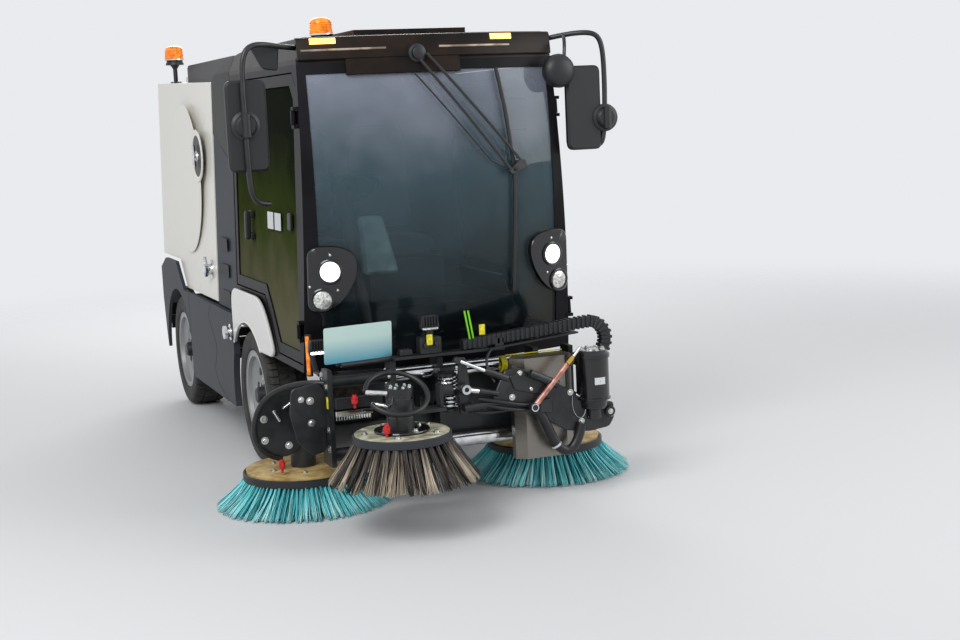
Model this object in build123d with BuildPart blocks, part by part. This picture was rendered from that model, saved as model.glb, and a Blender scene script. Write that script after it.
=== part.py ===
"""Compact street sweeper truck: forward cab, tipping hopper, two gutter brushes and a front brush.

Millimetres. X runs across the vehicle with +X on its left, the front faces -Y and +Z is up.
The origin is on the ground, under the middle of the vehicle's box.
"""
from build123d import *
import os
from math import asin, atan2, cos, degrees, radians, sin, sqrt, tan

os.makedirs("parts", exist_ok=True)

# wheels and axles
wheelbase = 1790
front_axle_y = -210
rear_axle_y = front_axle_y + wheelbase
tyre_radius = 326
tyre_width = 195
rim_radius = 221
bead_radius = 205
rim_edge = 86
stub_radius = 24
wheel_centre_x = 520
hub_radius = 62
axle_z = tyre_radius
kingpin_x = 430
kingpin_radius = 16
pivot_gap = 0.05
face_gap = 0.3

# chassis
rail_centre_x = 200
rail_width = 60
rail_bottom = 420
rail_top = 540
rail_front_y = -1405
rail_rear_y = 2050
cross_tube_radius = 30
cross_tube_z = 465
cab_mounts_y = (-1150, -700)
jack_pad_y = 1050
jack_pad_half = 45
jack_pad_height = 16
tow_hole_y = 2118
tow_hole_radius = 15
tow_low_z = 470
tow_thickness = 30

# upper body: cab, engine cover and hopper share one side slope
sill_z = 580
step_z = 720
step_y = -640
half_width_low = 622
half_width_high = 578
shoulder_z = 1900
roof_z = 1990
half_width_roof = 540
roof_flat_y = -180
roof_end_y = 520
roof_end_z = 1862
cab_wall = 40
cab_rear_y = 70
front_low_y = -1290
front_bulge_y = -1350
front_bulge_z = 1150
front_top_y = -1285
front_plan_radius = 1850
barrel_axis_y = front_bulge_y + front_plan_radius
panel_gap = 6

# doors
door_front_y = -1190
door_rear_y = 50
door_low_z = 610
door_top_z = 1850
door_wheel_z = 850
door_wheel_y = -530
door_step_y = -770
door_inset = 2
door_thickness = 34
door_reach_x = 500
door_frame = 48
glass_inset = 10
glass_thickness = 5
hinge_radius = 11
hinge_pin_radius = 6
hinge_height = 60
hinge_ear = 14
hinge_gap = 1
hinge_heights = (760, 1660)

# windscreen
screen_half_width = 545
screen_low_z = 640
screen_high_z = 1835
screen_roof_z = 1880

# hopper
hopper_front_y = 520
hopper_rear_y = 2080
hopper_low_z = 720
hopper_arch_z = 870
hopper_arch_start_y = 1355
hopper_arch_end_y = 1545
hopper_top_rear_z = 1905
hopper_wall = 30
hopper_hinge_y = 2000
hopper_hinge_z = 825
hopper_door_thickness = 30
hopper_door_hinge_y = hopper_rear_y + 25
hopper_door_hinge_z = hopper_top_rear_z + 20
hopper_door_top_z = hopper_top_rear_z - 12
hopper_lug_reach = 14

# arches, skirts and lower panels
side_outer_x = 641
side_thickness = side_outer_x - half_width_low - face_gap
arch_radius = 390
arch_centre_z = 300
arch_lip = 60
arch_lip_low_z = 580
skirt_thickness = side_thickness + 14
outriggers = ((320, skirt_thickness), (1130, skirt_thickness), (1992, side_thickness))
wheel_clearance = 22

# suction mouth and duct
mouth_half_width = 330
mouth_front_y = 380
mouth_rear_y = 700
mouth_low_z = 18
mouth_high_z = 190
mouth_wall = 12
duct_radius = 85
duct_wall = 5
duct_low_y = 520
duct_high_y = 640

# tipping cylinder
tip_base_y = 860
tip_base_z = 480
tip_eye_y = 1500
tip_eye_z = 690
tip_barrel_radius = 36
tip_rod_radius = 22
tip_barrel_length = 470
tip_pin_radius = 12
tip_rod_start = 90
cross_tubes_y = (-1150, -700, 300, tip_base_y - 60, 1300, 1992)

# slide rods that carry the gutter brushes
slide_y = -1460
slide_high_z = 577
slide_low_z = 269
rod_radius = 27
sleeve_radius = 32
sleeve_gap = 0.5
sleeve_half_length = 330
rod_length = 410
head_thickness = 20
head_x = {1: 500, -1: 605}

# gutter brushes
brush_offset_x = 20
brush_y = -1110
link_high_z = 400
link_front_y = -1400
link_rear_y = -1200
link_drop = 70
link_thickness = 14
brush_disc_radius = 200
brush_disc_low_z = 122
brush_disc_thickness = 34
bristle_radius = 358
tray_low_z = 640
motor_radius = 55
motor_height = 150

# front brush on its boom
front_brush_x = -400
front_brush_y = -1820
front_disc_radius = 197
front_disc_low_z = 378
front_disc_thickness = 30
front_bristle_low_z = 215
front_bristle_radius = 300
front_motor_radius = 52
front_motor_height = 175
boom_x = -175
boom_base_y = -1462
boom_base_z = 455
boom_tip_y = -1735
boom_tip_z = 540
boom_width = 44
boom_pin_radius = 10


def block(x, y, z, mode=Mode.ADD):
    """A box between two corners, given as the two ends of each axis."""
    with Locations(((x[0] + x[1]) / 2, (y[0] + y[1]) / 2, (z[0] + z[1]) / 2)):
        Box(x[1] - x[0], y[1] - y[0], z[1] - z[0], mode=mode)


def bar(start, end, radius, mode=Mode.ADD):
    """A round bar between two points."""
    reach = Vector(*end) - Vector(*start)
    with BuildSketch(Plane(origin=start, z_dir=reach)) as section:
        Circle(radius)
    extrude(section.sketch, amount=reach.length, mode=mode)


def side_plate(points, x, mode=Mode.ADD):
    """A plate across the X range x, with a side outline of (y, z) points."""
    with BuildSketch(Plane.YZ.offset(x[0])) as outline:
        with BuildLine():
            Polyline(*points, close=True)
        make_face()
    extrude(outline.sketch, amount=x[1] - x[0], mode=mode)


def write(part, name):
    """Label a finished piece and write it to its own file."""
    part.label = name
    export_step(part, "parts/" + name + ".step")


def side_range(side, inner, outer):
    """The X range from inner to outer on one side of the vehicle."""
    return (inner, outer) if side > 0 else (-outer, -inner)


def half_width(z):
    """Half width of the upper body's flat side at height z."""
    share = (z - sill_z) / (shoulder_z - sill_z)
    return half_width_low + (half_width_high - half_width_low) * share


# construction solids


def side_slopes(inset):
    """The leaning sides and bevelled roof edges, as one tall block."""
    with BuildPart() as slopes:
        for z, half in ((sill_z - 100, half_width(sill_z - 100)), (shoulder_z, half_width_high),
                        (roof_z, half_width_roof)):
            with BuildSketch(Plane.XY.offset(z)):
                Rectangle(2 * (half - inset), 8000)
        loft(ruled=True)
    return slopes.part


def front_barrel(inset):
    """The bulged front surface, turned about an upright axis behind the cab."""
    low = sill_z - 100
    with BuildPart() as barrel:
        with BuildSketch(Plane.YZ):
            with BuildLine():
                ThreePointArc((front_low_y + inset, low), (front_bulge_y + inset, front_bulge_z),
                              (front_top_y + inset, roof_z))
                Polyline((front_top_y + inset, roof_z), (barrel_axis_y, roof_z), (barrel_axis_y, low),
                         (front_low_y + inset, low))
            make_face()
        revolve(axis=Axis((0, barrel_axis_y, 0), (0, 0, 1)))
    return barrel.part


def roof_drop(y):
    """How far the rear curve of the roof lies under the flat roof at y."""
    run = roof_end_y - roof_flat_y
    fall = roof_z - roof_end_z
    radius = (run**2 + fall**2) / (2 * fall)
    return radius - sqrt(radius**2 - (y - roof_flat_y) ** 2)


def upper_body(inset, front_y, rear_y, low_z):
    """Cab and engine cover share this outline: leaning sides, bulged front and the roof's rear curve."""
    mid_y = (roof_flat_y + rear_y) / 2
    rear_z = roof_z - roof_drop(rear_y) - inset
    mid_z = roof_z - roof_drop(mid_y) - inset
    with BuildPart() as body:
        with BuildSketch(Plane.YZ.offset(-half_width_low - 50)):
            with BuildLine():
                Polyline((roof_flat_y, roof_z - inset), (-1500, roof_z - inset), (-1500, low_z + inset),
                         (rear_y - inset, low_z + inset), (rear_y - inset, rear_z))
                ThreePointArc((rear_y - inset, rear_z), (mid_y, mid_z), (roof_flat_y, roof_z - inset))
            make_face()
        extrude(amount=2 * (half_width_low + 50))
        block((-900, 900), (-1600, front_y), (0, 2100), mode=Mode.SUBTRACT)
        add(side_slopes(inset), mode=Mode.INTERSECT)
        add(front_barrel(inset), mode=Mode.INTERSECT)
    return body.part


def cab_body(inset):
    """The cab drawn in by inset all round, with its floor stepped up over the front wheels."""
    with BuildPart() as body:
        add(upper_body(inset, -1500, cab_rear_y, sill_z))
        block((-900, 900), (step_y - inset, cab_rear_y + 10), (0, step_z + inset), mode=Mode.SUBTRACT)
    return body.part


def door_prism(margin, reach=900):
    """The door's side outline, drawn in by margin, as a prism right across the cab."""
    m = margin
    with BuildPart() as prism:
        side_plate(
            [
                (door_front_y + m, door_low_z + m),
                (door_step_y - m / 2, door_low_z + m),
                (door_step_y + 120 - m / 2, door_low_z + 130 + m),
                (door_wheel_y - m / 2, door_wheel_z + m),
                (door_rear_y - m, door_wheel_z + m),
                (door_rear_y - m, door_top_z - 60 - m),
                (door_rear_y - 60 - m, door_top_z - m),
                (door_front_y + 60 + m, door_top_z - m),
                (door_front_y + m, door_top_z - 60 - m),
            ],
            (-reach, reach),
        )
    return prism.part


def door_sides(margin):
    """The door's outline as a prism through the two side walls only."""
    with BuildPart() as prisms:
        add(door_prism(margin))
        block((-door_reach_x, door_reach_x), (-1500, 200), (0, 2100), mode=Mode.SUBTRACT)
    return prisms.part


cab_outer = cab_body(0)
cab_inner = cab_body(cab_wall)
door_outer = side_slopes(door_inset)
door_inner = side_slopes(door_inset + door_thickness)
glass_outer = side_slopes(glass_inset)
glass_inner = side_slopes(glass_inset + glass_thickness)
door_opening = door_sides(0)
door_panel = door_sides(panel_gap)
door_window = door_prism(panel_gap + door_frame)
door_pane = door_prism(panel_gap + door_frame + face_gap)

hinge_y = door_front_y - 4


def hinge_point(side, z):
    """A point on the door's leaning hinge line, just outside the skin."""
    return (side * (half_width(z) + hinge_radius + 2), hinge_y, z)


# cab shell, open at the doors and the windscreen
with BuildPart() as cab_shell:
    add(cab_outer)
    add(cab_inner, mode=Mode.SUBTRACT)
    add(door_opening, mode=Mode.SUBTRACT)
    block((-screen_half_width, screen_half_width), (-1500, -1100), (screen_low_z, screen_high_z), mode=Mode.SUBTRACT)
    block((-900, 900), (-1500, 200), (screen_roof_z, roof_z + 20), mode=Mode.SUBTRACT)
    # hinge ears and pins ahead of each door
    for side in (1, -1):
        for z in hinge_heights:
            for low in (z - hinge_height / 2 - hinge_gap - hinge_ear, z + hinge_height / 2 + hinge_gap):
                x = side_range(side, half_width(z) - 12, half_width(z) + 2 * hinge_radius)
                block(x, (hinge_y - 30, hinge_y + hinge_radius - 6), (low, low + hinge_ear))
            bar(hinge_point(side, z - hinge_height / 2 - hinge_ear), hinge_point(side, z + hinge_height / 2 + hinge_ear),
                hinge_pin_radius)
write(cab_shell.part, "cab_shell")

with BuildPart() as cab_roof:
    add(cab_outer)
    add(cab_inner, mode=Mode.SUBTRACT)
    block((-900, 900), (-1500, 200), (0, screen_roof_z), mode=Mode.SUBTRACT)
    # front visor with two small lamp nests, and the low cooling unit
    block((-304, 204), (-1150, -700), (roof_z - 10, roof_z + 28))
write(cab_roof.part, "cab_roof")

with BuildPart() as windscreen:
    add(front_barrel(4))
    add(front_barrel(4 + glass_thickness + 1), mode=Mode.SUBTRACT)
    x = screen_half_width - face_gap
    block((-x, x), (-1500, -1100), (screen_low_z + face_gap, screen_high_z - face_gap), mode=Mode.INTERSECT)
write(windscreen.part, "windscreen")

door_names = {1: "left", -1: "right"}
for side in (1, -1):
    with BuildPart() as door:
        add(door_outer)
        add(door_inner, mode=Mode.SUBTRACT)
        add(door_panel, mode=Mode.INTERSECT)
        add(door_window, mode=Mode.SUBTRACT)
        block(side_range(side, 0, 900), (-1500, 200), (0, 2100), mode=Mode.INTERSECT)
        for z in hinge_heights:
            low = hinge_point(side, z - hinge_height / 2)
            high = hinge_point(side, z + hinge_height / 2)
            bar(low, high, hinge_radius)
            strap = (z - hinge_height / 2 + 1, z + hinge_height / 2 - 1)
            block(side_range(side, half_width(z) + 3, half_width(z) + 12), (hinge_y, door_front_y + 50), strap)
            block(side_range(side, half_width(z) - 10, half_width(z) + 4),
                  (door_front_y + panel_gap + 2, door_front_y + 50), strap)
            bar(low, high, hinge_pin_radius + pivot_gap, mode=Mode.SUBTRACT)
    write(door.part, "door_" + door_names[side])

    with BuildPart() as door_glass:
        add(glass_outer)
        add(glass_inner, mode=Mode.SUBTRACT)
        add(door_pane, mode=Mode.INTERSECT)
        block(side_range(side, 0, 900), (-1500, 200), (0, 2100), mode=Mode.INTERSECT)
    write(door_glass.part, "door_glass_" + door_names[side])

# engine cover behind the cab: same roof curve, open below, side panels apart
cover_front_y = cab_rear_y + panel_gap
cover_rear_y = hopper_front_y - panel_gap - 8
cover_low_z = sill_z + 130
column_top_z = 1450
column_rise = 150
column_thickness = 25
column_inset = 2
with BuildPart() as column_recess:
    add(upper_body(-5, cover_front_y - 5, cover_rear_y + 5, sill_z))
    add(upper_body(column_inset + column_thickness + face_gap, cover_front_y - 100, cover_rear_y + 100, sill_z - 100),
        mode=Mode.SUBTRACT)
    side_plate(
        [(cover_front_y - 10, 600), (cover_rear_y + 10, 600), (cover_rear_y + 10, column_top_z + column_rise),
         (cover_front_y - 10, column_top_z)], (-900, 900), mode=Mode.INTERSECT)
    block((-480, 480), (0, 600), (0, 2100), mode=Mode.SUBTRACT)

with BuildPart() as engine_cover:
    add(upper_body(0, cover_front_y, cover_rear_y, sill_z))
    add(upper_body(25, cover_front_y + 25, cover_rear_y, sill_z - 100), mode=Mode.SUBTRACT)
    block((-900, 900), (0, 600), (0, cover_low_z), mode=Mode.SUBTRACT)
    add(column_recess.part, mode=Mode.SUBTRACT)
write(engine_cover.part, "engine_cover")

with BuildPart() as side_columns:
    add(upper_body(column_inset, cover_front_y, cover_rear_y, sill_z))
    add(upper_body(column_inset + column_thickness, cover_front_y - 100, cover_rear_y + 100, sill_z - 100),
        mode=Mode.SUBTRACT)
    low = cover_low_z - 2
    high = column_top_z - panel_gap
    side_plate(
        [(cover_front_y + 4, low), (cover_rear_y - 4, low), (cover_rear_y - 4, high + column_rise),
         (cover_front_y + 4, high)], (-900, 900), mode=Mode.INTERSECT)
    block((-480, 480), (0, 600), (0, 2100), mode=Mode.SUBTRACT)
write(side_columns.part, "side_columns")


def arch_panel(outline, axle_y, side):
    """A flat wheel arch panel with its round opening and a short inner lip."""
    x = side_range(side, side_outer_x - side_thickness, side_outer_x)
    side_plate(outline, x)
    lip = side_range(side, side_outer_x - arch_lip - side_thickness, side_outer_x - side_thickness / 2)
    with BuildSketch(Plane.YZ.offset(lip[0])) as lip_ring:
        with Locations((axle_y, arch_centre_z)):
            Circle(arch_radius + 12)
        with Locations((axle_y, arch_lip_low_z - 500)):
            Rectangle(1200, 1000, mode=Mode.SUBTRACT)
    extrude(lip_ring.sketch, amount=lip[1] - lip[0])
    bar((-900, axle_y, arch_centre_z), (900, axle_y, arch_centre_z), arch_radius, mode=Mode.SUBTRACT)


with BuildPart() as front_fenders:
    for side in (1, -1):
        front = front_axle_y - 553
        arch_panel([(front, sill_z), (front + 120, sill_z + 150), (front_axle_y - 301, 838), (86, 838), (86, 560),
                    (front_axle_y - 300, 560), (front_axle_y - 310, sill_z)], front_axle_y, side)
write(front_fenders.part, "front_fenders")

with BuildPart() as rear_arches:
    for side in (1, -1):
        arch_panel([(1228, 300), (1228, 700), (1361, 706), (1551, 856), (1880, 856), (2050, 790), (2050, 600),
                    (2010, 400), (1980, 300)], rear_axle_y, side)
write(rear_arches.part, "rear_arches")

with BuildPart() as side_skirts:
    for side in (1, -1):
        x = side_range(side, side_outer_x - skirt_thickness, side_outer_x)
        side_plate([(94, 240), (94, 700), (1222, 700), (1222, 250), (1180, 222), (120, 222)], x)
    for y in (front_axle_y, rear_axle_y):
        bar((-900, y, axle_z), (900, y, axle_z), tyre_radius + wheel_clearance, mode=Mode.SUBTRACT)
write(side_skirts.part, "side_skirts")

# chassis: two rails with their posts, then cross tubes, outriggers, jack pads and rear bumper set against them
rail_inner_x = rail_centre_x - rail_width / 2
rail_outer_x = rail_centre_x + rail_width / 2
bumper_front_y = rail_rear_y + face_gap
with BuildPart() as chassis_frame:
    for side in (1, -1):
        x = side_range(side, rail_inner_x, rail_outer_x)
        block(x, (rail_front_y, rail_rear_y), (rail_bottom, rail_top))
        # hopper hinge post and its pin
        block(x, (hopper_hinge_y - 37, hopper_hinge_y + 37), (rail_top - 1, hopper_hinge_z + 14))
        bar((side * rail_inner_x, hopper_hinge_y, hopper_hinge_z),
            (side * (rail_outer_x + 30), hopper_hinge_y, hopper_hinge_z), tip_pin_radius)
        # outriggers that hold the skirts and arches
        for y, thickness in outriggers:
            reach = side_range(side, rail_outer_x + face_gap, side_outer_x - thickness - face_gap)
            block(reach, (y - 20, y + 20), (rail_bottom + 20, rail_bottom + 70))
        # cab mounts
        for y in cab_mounts_y:
            block(x, (y - 30, y + 30), (rail_top - 1, sill_z))
        block(x, (-60, 60), (rail_top - 1, step_z))
        # post under the engine cover's front wall
        block(x, (cover_front_y + 2, cover_front_y + 22), (rail_top - 1, cover_low_z - face_gap))
        # pad for a jack
        pad_x = side * rail_centre_x
        block((pad_x - jack_pad_half, pad_x + jack_pad_half), (jack_pad_y - jack_pad_half, jack_pad_y + jack_pad_half),
              (rail_bottom - jack_pad_height, rail_bottom - face_gap))
    for y in cross_tubes_y:
        reach = rail_inner_x - face_gap
        bar((-reach, y, cross_tube_z), (reach, y, cross_tube_z), cross_tube_radius)
    # rear bumper and towing lug with an upright pin hole
    block((-600, 600), (bumper_front_y, bumper_front_y + 35), (400, 560))
    block((-35, 35), (bumper_front_y + 34, tow_hole_y + 35), (tow_low_z, tow_low_z + tow_thickness))
    bar((0, tow_hole_y, tow_low_z - 1), (0, tow_hole_y, tow_low_z + tow_thickness + 1), tow_hole_radius,
        mode=Mode.SUBTRACT)
    # clevis of the tipping cylinder on its cross tube
    for side in (1, -1):
        block(side_range(side, 30, 44), (tip_base_y - 70, tip_base_y + 25), (tip_base_z - 40, tip_base_z + 25))
    bar((-44, tip_base_y, tip_base_z), (44, tip_base_y, tip_base_z), tip_pin_radius)
write(chassis_frame.part, "chassis_frame")

with BuildPart() as engine_block:
    block((-230, 230), (110, 430), (rail_top + 10, 1120))
    for side in (1, -1):
        x = side_range(side, rail_centre_x - 20, rail_centre_x + 20)
        block(x, (150, 390), (rail_top, rail_top + 10))
write(engine_block.part, "engine_block")

with BuildPart() as front_axle:
    reach = kingpin_x - 42
    block((-reach, reach), (front_axle_y - 40, front_axle_y + 40), (axle_z - 45, axle_z + 35))
    for side in (1, -1):
        x = side_range(side, rail_centre_x - 30, rail_centre_x + 30)
        block(x, (front_axle_y - 40, front_axle_y + 40), (axle_z + 34, rail_bottom))
        fork = side_range(side, reach - 1, kingpin_x + 24)
        for z in (axle_z - 95, axle_z + 70):
            block(fork, (front_axle_y - 24, front_axle_y + 24), (z, z + 25))
        block(side_range(side, reach - 30, reach), (front_axle_y - 24, front_axle_y + 24), (axle_z - 95, axle_z + 95))
        x = side * kingpin_x
        bar((x, front_axle_y, axle_z - 100), (x, front_axle_y, axle_z + 100), kingpin_radius)
write(front_axle.part, "front_axle")

for side in (1, -1):
    x = side * kingpin_x
    with BuildPart() as knuckle:
        bar((x, front_axle_y, axle_z - 70 + face_gap), (x, front_axle_y, axle_z + 70 - face_gap), 28)
        bar((side * kingpin_x, front_axle_y, axle_z), (side * (wheel_centre_x + 30), front_axle_y, axle_z),
            stub_radius)
        bar((x, front_axle_y, axle_z - 70), (x, front_axle_y, axle_z + 70), kingpin_radius + pivot_gap,
            mode=Mode.SUBTRACT)
    write(knuckle.part, "knuckle_" + door_names[side])

rear_stub_end = wheel_centre_x + 30
with BuildPart() as rear_axle:
    bar((-rear_stub_end, rear_axle_y, axle_z), (rear_stub_end, rear_axle_y, axle_z), stub_radius)
    bar((-380, rear_axle_y, axle_z), (380, rear_axle_y, axle_z), 45)
    with Locations((0, rear_axle_y, axle_z)):
        Sphere(95)
    for side in (1, -1):
        x = side_range(side, rail_centre_x - 30, rail_centre_x + 30)
        block(x, (rear_axle_y - 40, rear_axle_y + 40), (axle_z + 30, rail_bottom))
write(rear_axle.part, "rear_axle")

# wheels: one tyre and one dished rim at each corner
half_tyre = tyre_width / 2
wheel_places = {
    "front_left": (1, front_axle_y), "front_right": (-1, front_axle_y),
    "rear_left": (1, rear_axle_y), "rear_right": (-1, rear_axle_y),
}
for name, (side, y) in wheel_places.items():
    centre = Plane(origin=(side * wheel_centre_x, y, axle_z), x_dir=(side, 0, 0), z_dir=(0, -side, 0))
    turn = Axis((0, y, axle_z), (1, 0, 0))
    with BuildPart() as tyre:
        with BuildSketch(centre):
            with BuildLine():
                Polyline((-80, rim_radius + 3), (-80, bead_radius), (80, bead_radius), (80, rim_radius + 3))
                ThreePointArc((80, rim_radius + 3), (half_tyre, 270), (half_tyre - 12, tyre_radius - 22))
                Line((half_tyre - 12, tyre_radius - 22), (half_tyre - 28, tyre_radius - 4))
                ThreePointArc((half_tyre - 28, tyre_radius - 4), (0, tyre_radius), (28 - half_tyre, tyre_radius - 4))
                Line((28 - half_tyre, tyre_radius - 4), (12 - half_tyre, tyre_radius - 22))
                ThreePointArc((12 - half_tyre, tyre_radius - 22), (-half_tyre, 270), (-80, rim_radius + 3))
            make_face()
        revolve(axis=turn)
    write(tyre.part, "tyre_" + name)
    with BuildPart() as rim:
        with BuildSketch(centre):
            with BuildLine():
                Polyline((-rim_edge, rim_radius), (5 - rim_edge, rim_radius), (5 - rim_edge, bead_radius - face_gap),
                         (rim_edge - 5, bead_radius - face_gap), (rim_edge - 5, rim_radius), (rim_edge, rim_radius),
                         (rim_edge, bead_radius - 11), (66, bead_radius - 15), (48, 150), (40, hub_radius),
                         (44, hub_radius), (44, stub_radius + pivot_gap), (6, stub_radius + pivot_gap),
                         (6, hub_radius), (28, hub_radius + 4), (34, 150), (52, bead_radius - 17),
                         (-rim_edge, bead_radius - 11), close=True)
            make_face()
        revolve(axis=turn)
    write(rim.part, "rim_" + name)

def hopper_top_z(y):
    """Height of the hopper's sloping top at y."""
    share = (y - hopper_front_y) / (hopper_rear_y - hopper_front_y)
    return roof_end_z + (hopper_top_rear_z - roof_end_z) * share


# hopper: leaning sides, hollow, open at the rear and at the suction duct
def hopper_solid(inset):
    """The hopper's outline with its stepped floor over the rear wheels."""
    with BuildPart() as solid:
        side_plate(
            [
                (hopper_front_y + inset, hopper_low_z + inset),
                (hopper_arch_start_y - inset / 2, hopper_low_z + inset),
                (hopper_arch_end_y - inset / 2, hopper_arch_z + inset),
                (hopper_rear_y + inset * 2, hopper_arch_z + inset),
                (hopper_rear_y + inset * 2, hopper_top_rear_z - inset),
                (hopper_front_y + inset, roof_end_z - inset),
            ],
            (-700, 700),
        )
        add(side_slopes(inset), mode=Mode.INTERSECT)
    return solid.part


with BuildPart() as hopper_shell:
    add(hopper_solid(0))
    add(hopper_solid(hopper_wall), mode=Mode.SUBTRACT)
    bar((0, duct_high_y, hopper_low_z - 1), (0, duct_high_y, hopper_low_z + hopper_wall + 1), duct_radius,
        mode=Mode.SUBTRACT)
    # hinge eyes under the rear floor, door lugs on top, cylinder lug below
    for side in (1, -1):
        x = side_range(side, rail_centre_x + rail_width / 2 + face_gap, rail_centre_x + rail_width / 2 + 28)
        block(x, (hopper_hinge_y - 30, hopper_hinge_y + 30), (hopper_hinge_z - 28, hopper_arch_z))
        bar((x[0], hopper_hinge_y, hopper_hinge_z), (x[1], hopper_hinge_y, hopper_hinge_z),
            tip_pin_radius + pivot_gap, mode=Mode.SUBTRACT)
        lug_end_y = hopper_door_hinge_y + hopper_lug_reach
        block(side_range(side, 380, 396), (hopper_rear_y - 60, lug_end_y),
              (hopper_top_rear_z - 12, hopper_door_hinge_z + hopper_lug_reach))
        block(side_range(side, 380, 396), (hopper_rear_y, lug_end_y),
              (0, hopper_door_hinge_z - hopper_lug_reach), mode=Mode.SUBTRACT)
        # ears for the cylinder's eye
        side_plate([(tip_eye_y - 30, tip_eye_z - 30), (tip_eye_y + 30, tip_eye_z - 30), (tip_eye_y + 45, 850),
                    (tip_eye_y - 45, 815)], side_range(side, 30, 42))
        bar((side * 29, tip_eye_y, tip_eye_z), (side * 43, tip_eye_y, tip_eye_z), tip_pin_radius + pivot_gap,
            mode=Mode.SUBTRACT)
    for x in (-396, 345):
        bar((x, hopper_door_hinge_y, hopper_door_hinge_z), (x + 51, hopper_door_hinge_y, hopper_door_hinge_z), 8)
write(hopper_shell.part, "hopper_shell")

door_y = hopper_rear_y + face_gap + 1
with BuildPart() as hopper_door:
    side_plate([(door_y, hopper_arch_z + 8), (door_y + hopper_door_thickness, hopper_arch_z + 8),
                (door_y + hopper_door_thickness, hopper_door_top_z), (door_y, hopper_door_top_z)], (-560, 560))
    for side in (1, -1):
        block(side_range(side, 350, 378), (door_y + 8, door_y + hopper_door_thickness + 6),
              (hopper_top_rear_z - 40, hopper_door_hinge_z + hopper_lug_reach))
        x = side_range(side, 340, 378.5)
        bar((x[0], hopper_door_hinge_y, hopper_door_hinge_z), (x[1], hopper_door_hinge_y, hopper_door_hinge_z),
            8 + pivot_gap, mode=Mode.SUBTRACT)
write(hopper_door.part, "hopper_door")

with BuildPart() as hopper_box:
    side_plate([(560, 1863.5), (560, 1985), (600, 2000), (1840, 2000), (1880, 1985), (1880, 1899.5)], (-430, 430))
    add(hopper_solid(0), mode=Mode.SUBTRACT)
write(hopper_box.part, "hopper_box")

# beacons: one on the cab roof, one on a stalk at the hopper's right rear corner
with BuildPart() as beacon_front:
    bar((-375, -900, roof_z), (-375, -900, roof_z + 35), 48)
    bar((-375, -900, roof_z + 35), (-375, -900, roof_z + 98), 52)
write(beacon_front.part, "beacon_front")

with BuildPart() as beacon_rear:
    x, y = (-490, 1950)
    bar((x, y, hopper_top_z(y + 12) + 0.1), (x, y, 2010), 12)
    bar((x, y, 2010), (x, y, 2035), 40)
    bar((x, y, 2035), (x, y, 2125), 58)
write(beacon_rear.part, "beacon_rear")

# suction mouth and the duct up to the hopper floor
duct_high_z = hopper_low_z - panel_gap
with BuildPart() as suction_unit:
    block((-mouth_half_width, mouth_half_width), (mouth_front_y, mouth_rear_y), (mouth_low_z, mouth_high_z))
    bar((0, duct_low_y, mouth_high_z - 5), (0, duct_high_y, duct_high_z + 30), duct_radius)
    bar((0, duct_low_y, mouth_high_z - 20), (0, duct_high_y, duct_high_z + 30), duct_radius - duct_wall,
        mode=Mode.SUBTRACT)
    block((-200, 200), (500, 800), (duct_high_z, duct_high_z + 200), mode=Mode.SUBTRACT)
    inner = mouth_half_width - mouth_wall
    block((-inner, inner), (mouth_front_y + mouth_wall, mouth_rear_y - mouth_wall), (0, mouth_high_z - mouth_wall),
          mode=Mode.SUBTRACT)
    for side in (1, -1):
        block(side_range(side, rail_centre_x - 15, rail_centre_x + 15), (600, 630), (mouth_high_z - 1, rail_bottom))
write(suction_unit.part, "suction_unit")

# tipping cylinder between the chassis and the hopper floor
tip_run = Vector(0, tip_eye_y - tip_base_y, tip_eye_z - tip_base_z)
tip_unit = tip_run.normalized()


def along_tip(distance):
    """A point on the tipping cylinder's line, at a distance from its lower pin."""
    return (0, tip_base_y + tip_unit.Y * distance, tip_base_z + tip_unit.Z * distance)


with BuildPart() as tip_barrel:
    bar(along_tip(0), along_tip(tip_barrel_length), tip_barrel_radius)
    block((-60, -28), (tip_base_y - 40, tip_base_y + 60), (tip_base_z - 60, tip_base_z + 60), mode=Mode.SUBTRACT)
    block((28, 60), (tip_base_y - 40, tip_base_y + 60), (tip_base_z - 60, tip_base_z + 60), mode=Mode.SUBTRACT)
    bar((-28, tip_base_y, tip_base_z), (28, tip_base_y, tip_base_z), 26)
    bar((-60, tip_base_y, tip_base_z), (60, tip_base_y, tip_base_z), tip_pin_radius + pivot_gap, mode=Mode.SUBTRACT)
    bar(along_tip(tip_rod_start - 10), along_tip(tip_barrel_length + 1), tip_rod_radius + 0.2, mode=Mode.SUBTRACT)
write(tip_barrel.part, "tip_barrel")

with BuildPart() as tip_rod:
    bar(along_tip(tip_rod_start), along_tip(tip_run.length), tip_rod_radius)
    bar((-25, tip_eye_y, tip_eye_z), (25, tip_eye_y, tip_eye_z), 30)
    bar((-29.7, tip_eye_y, tip_eye_z), (29.7, tip_eye_y, tip_eye_z), tip_pin_radius)
write(tip_rod.part, "tip_rod")

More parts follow.
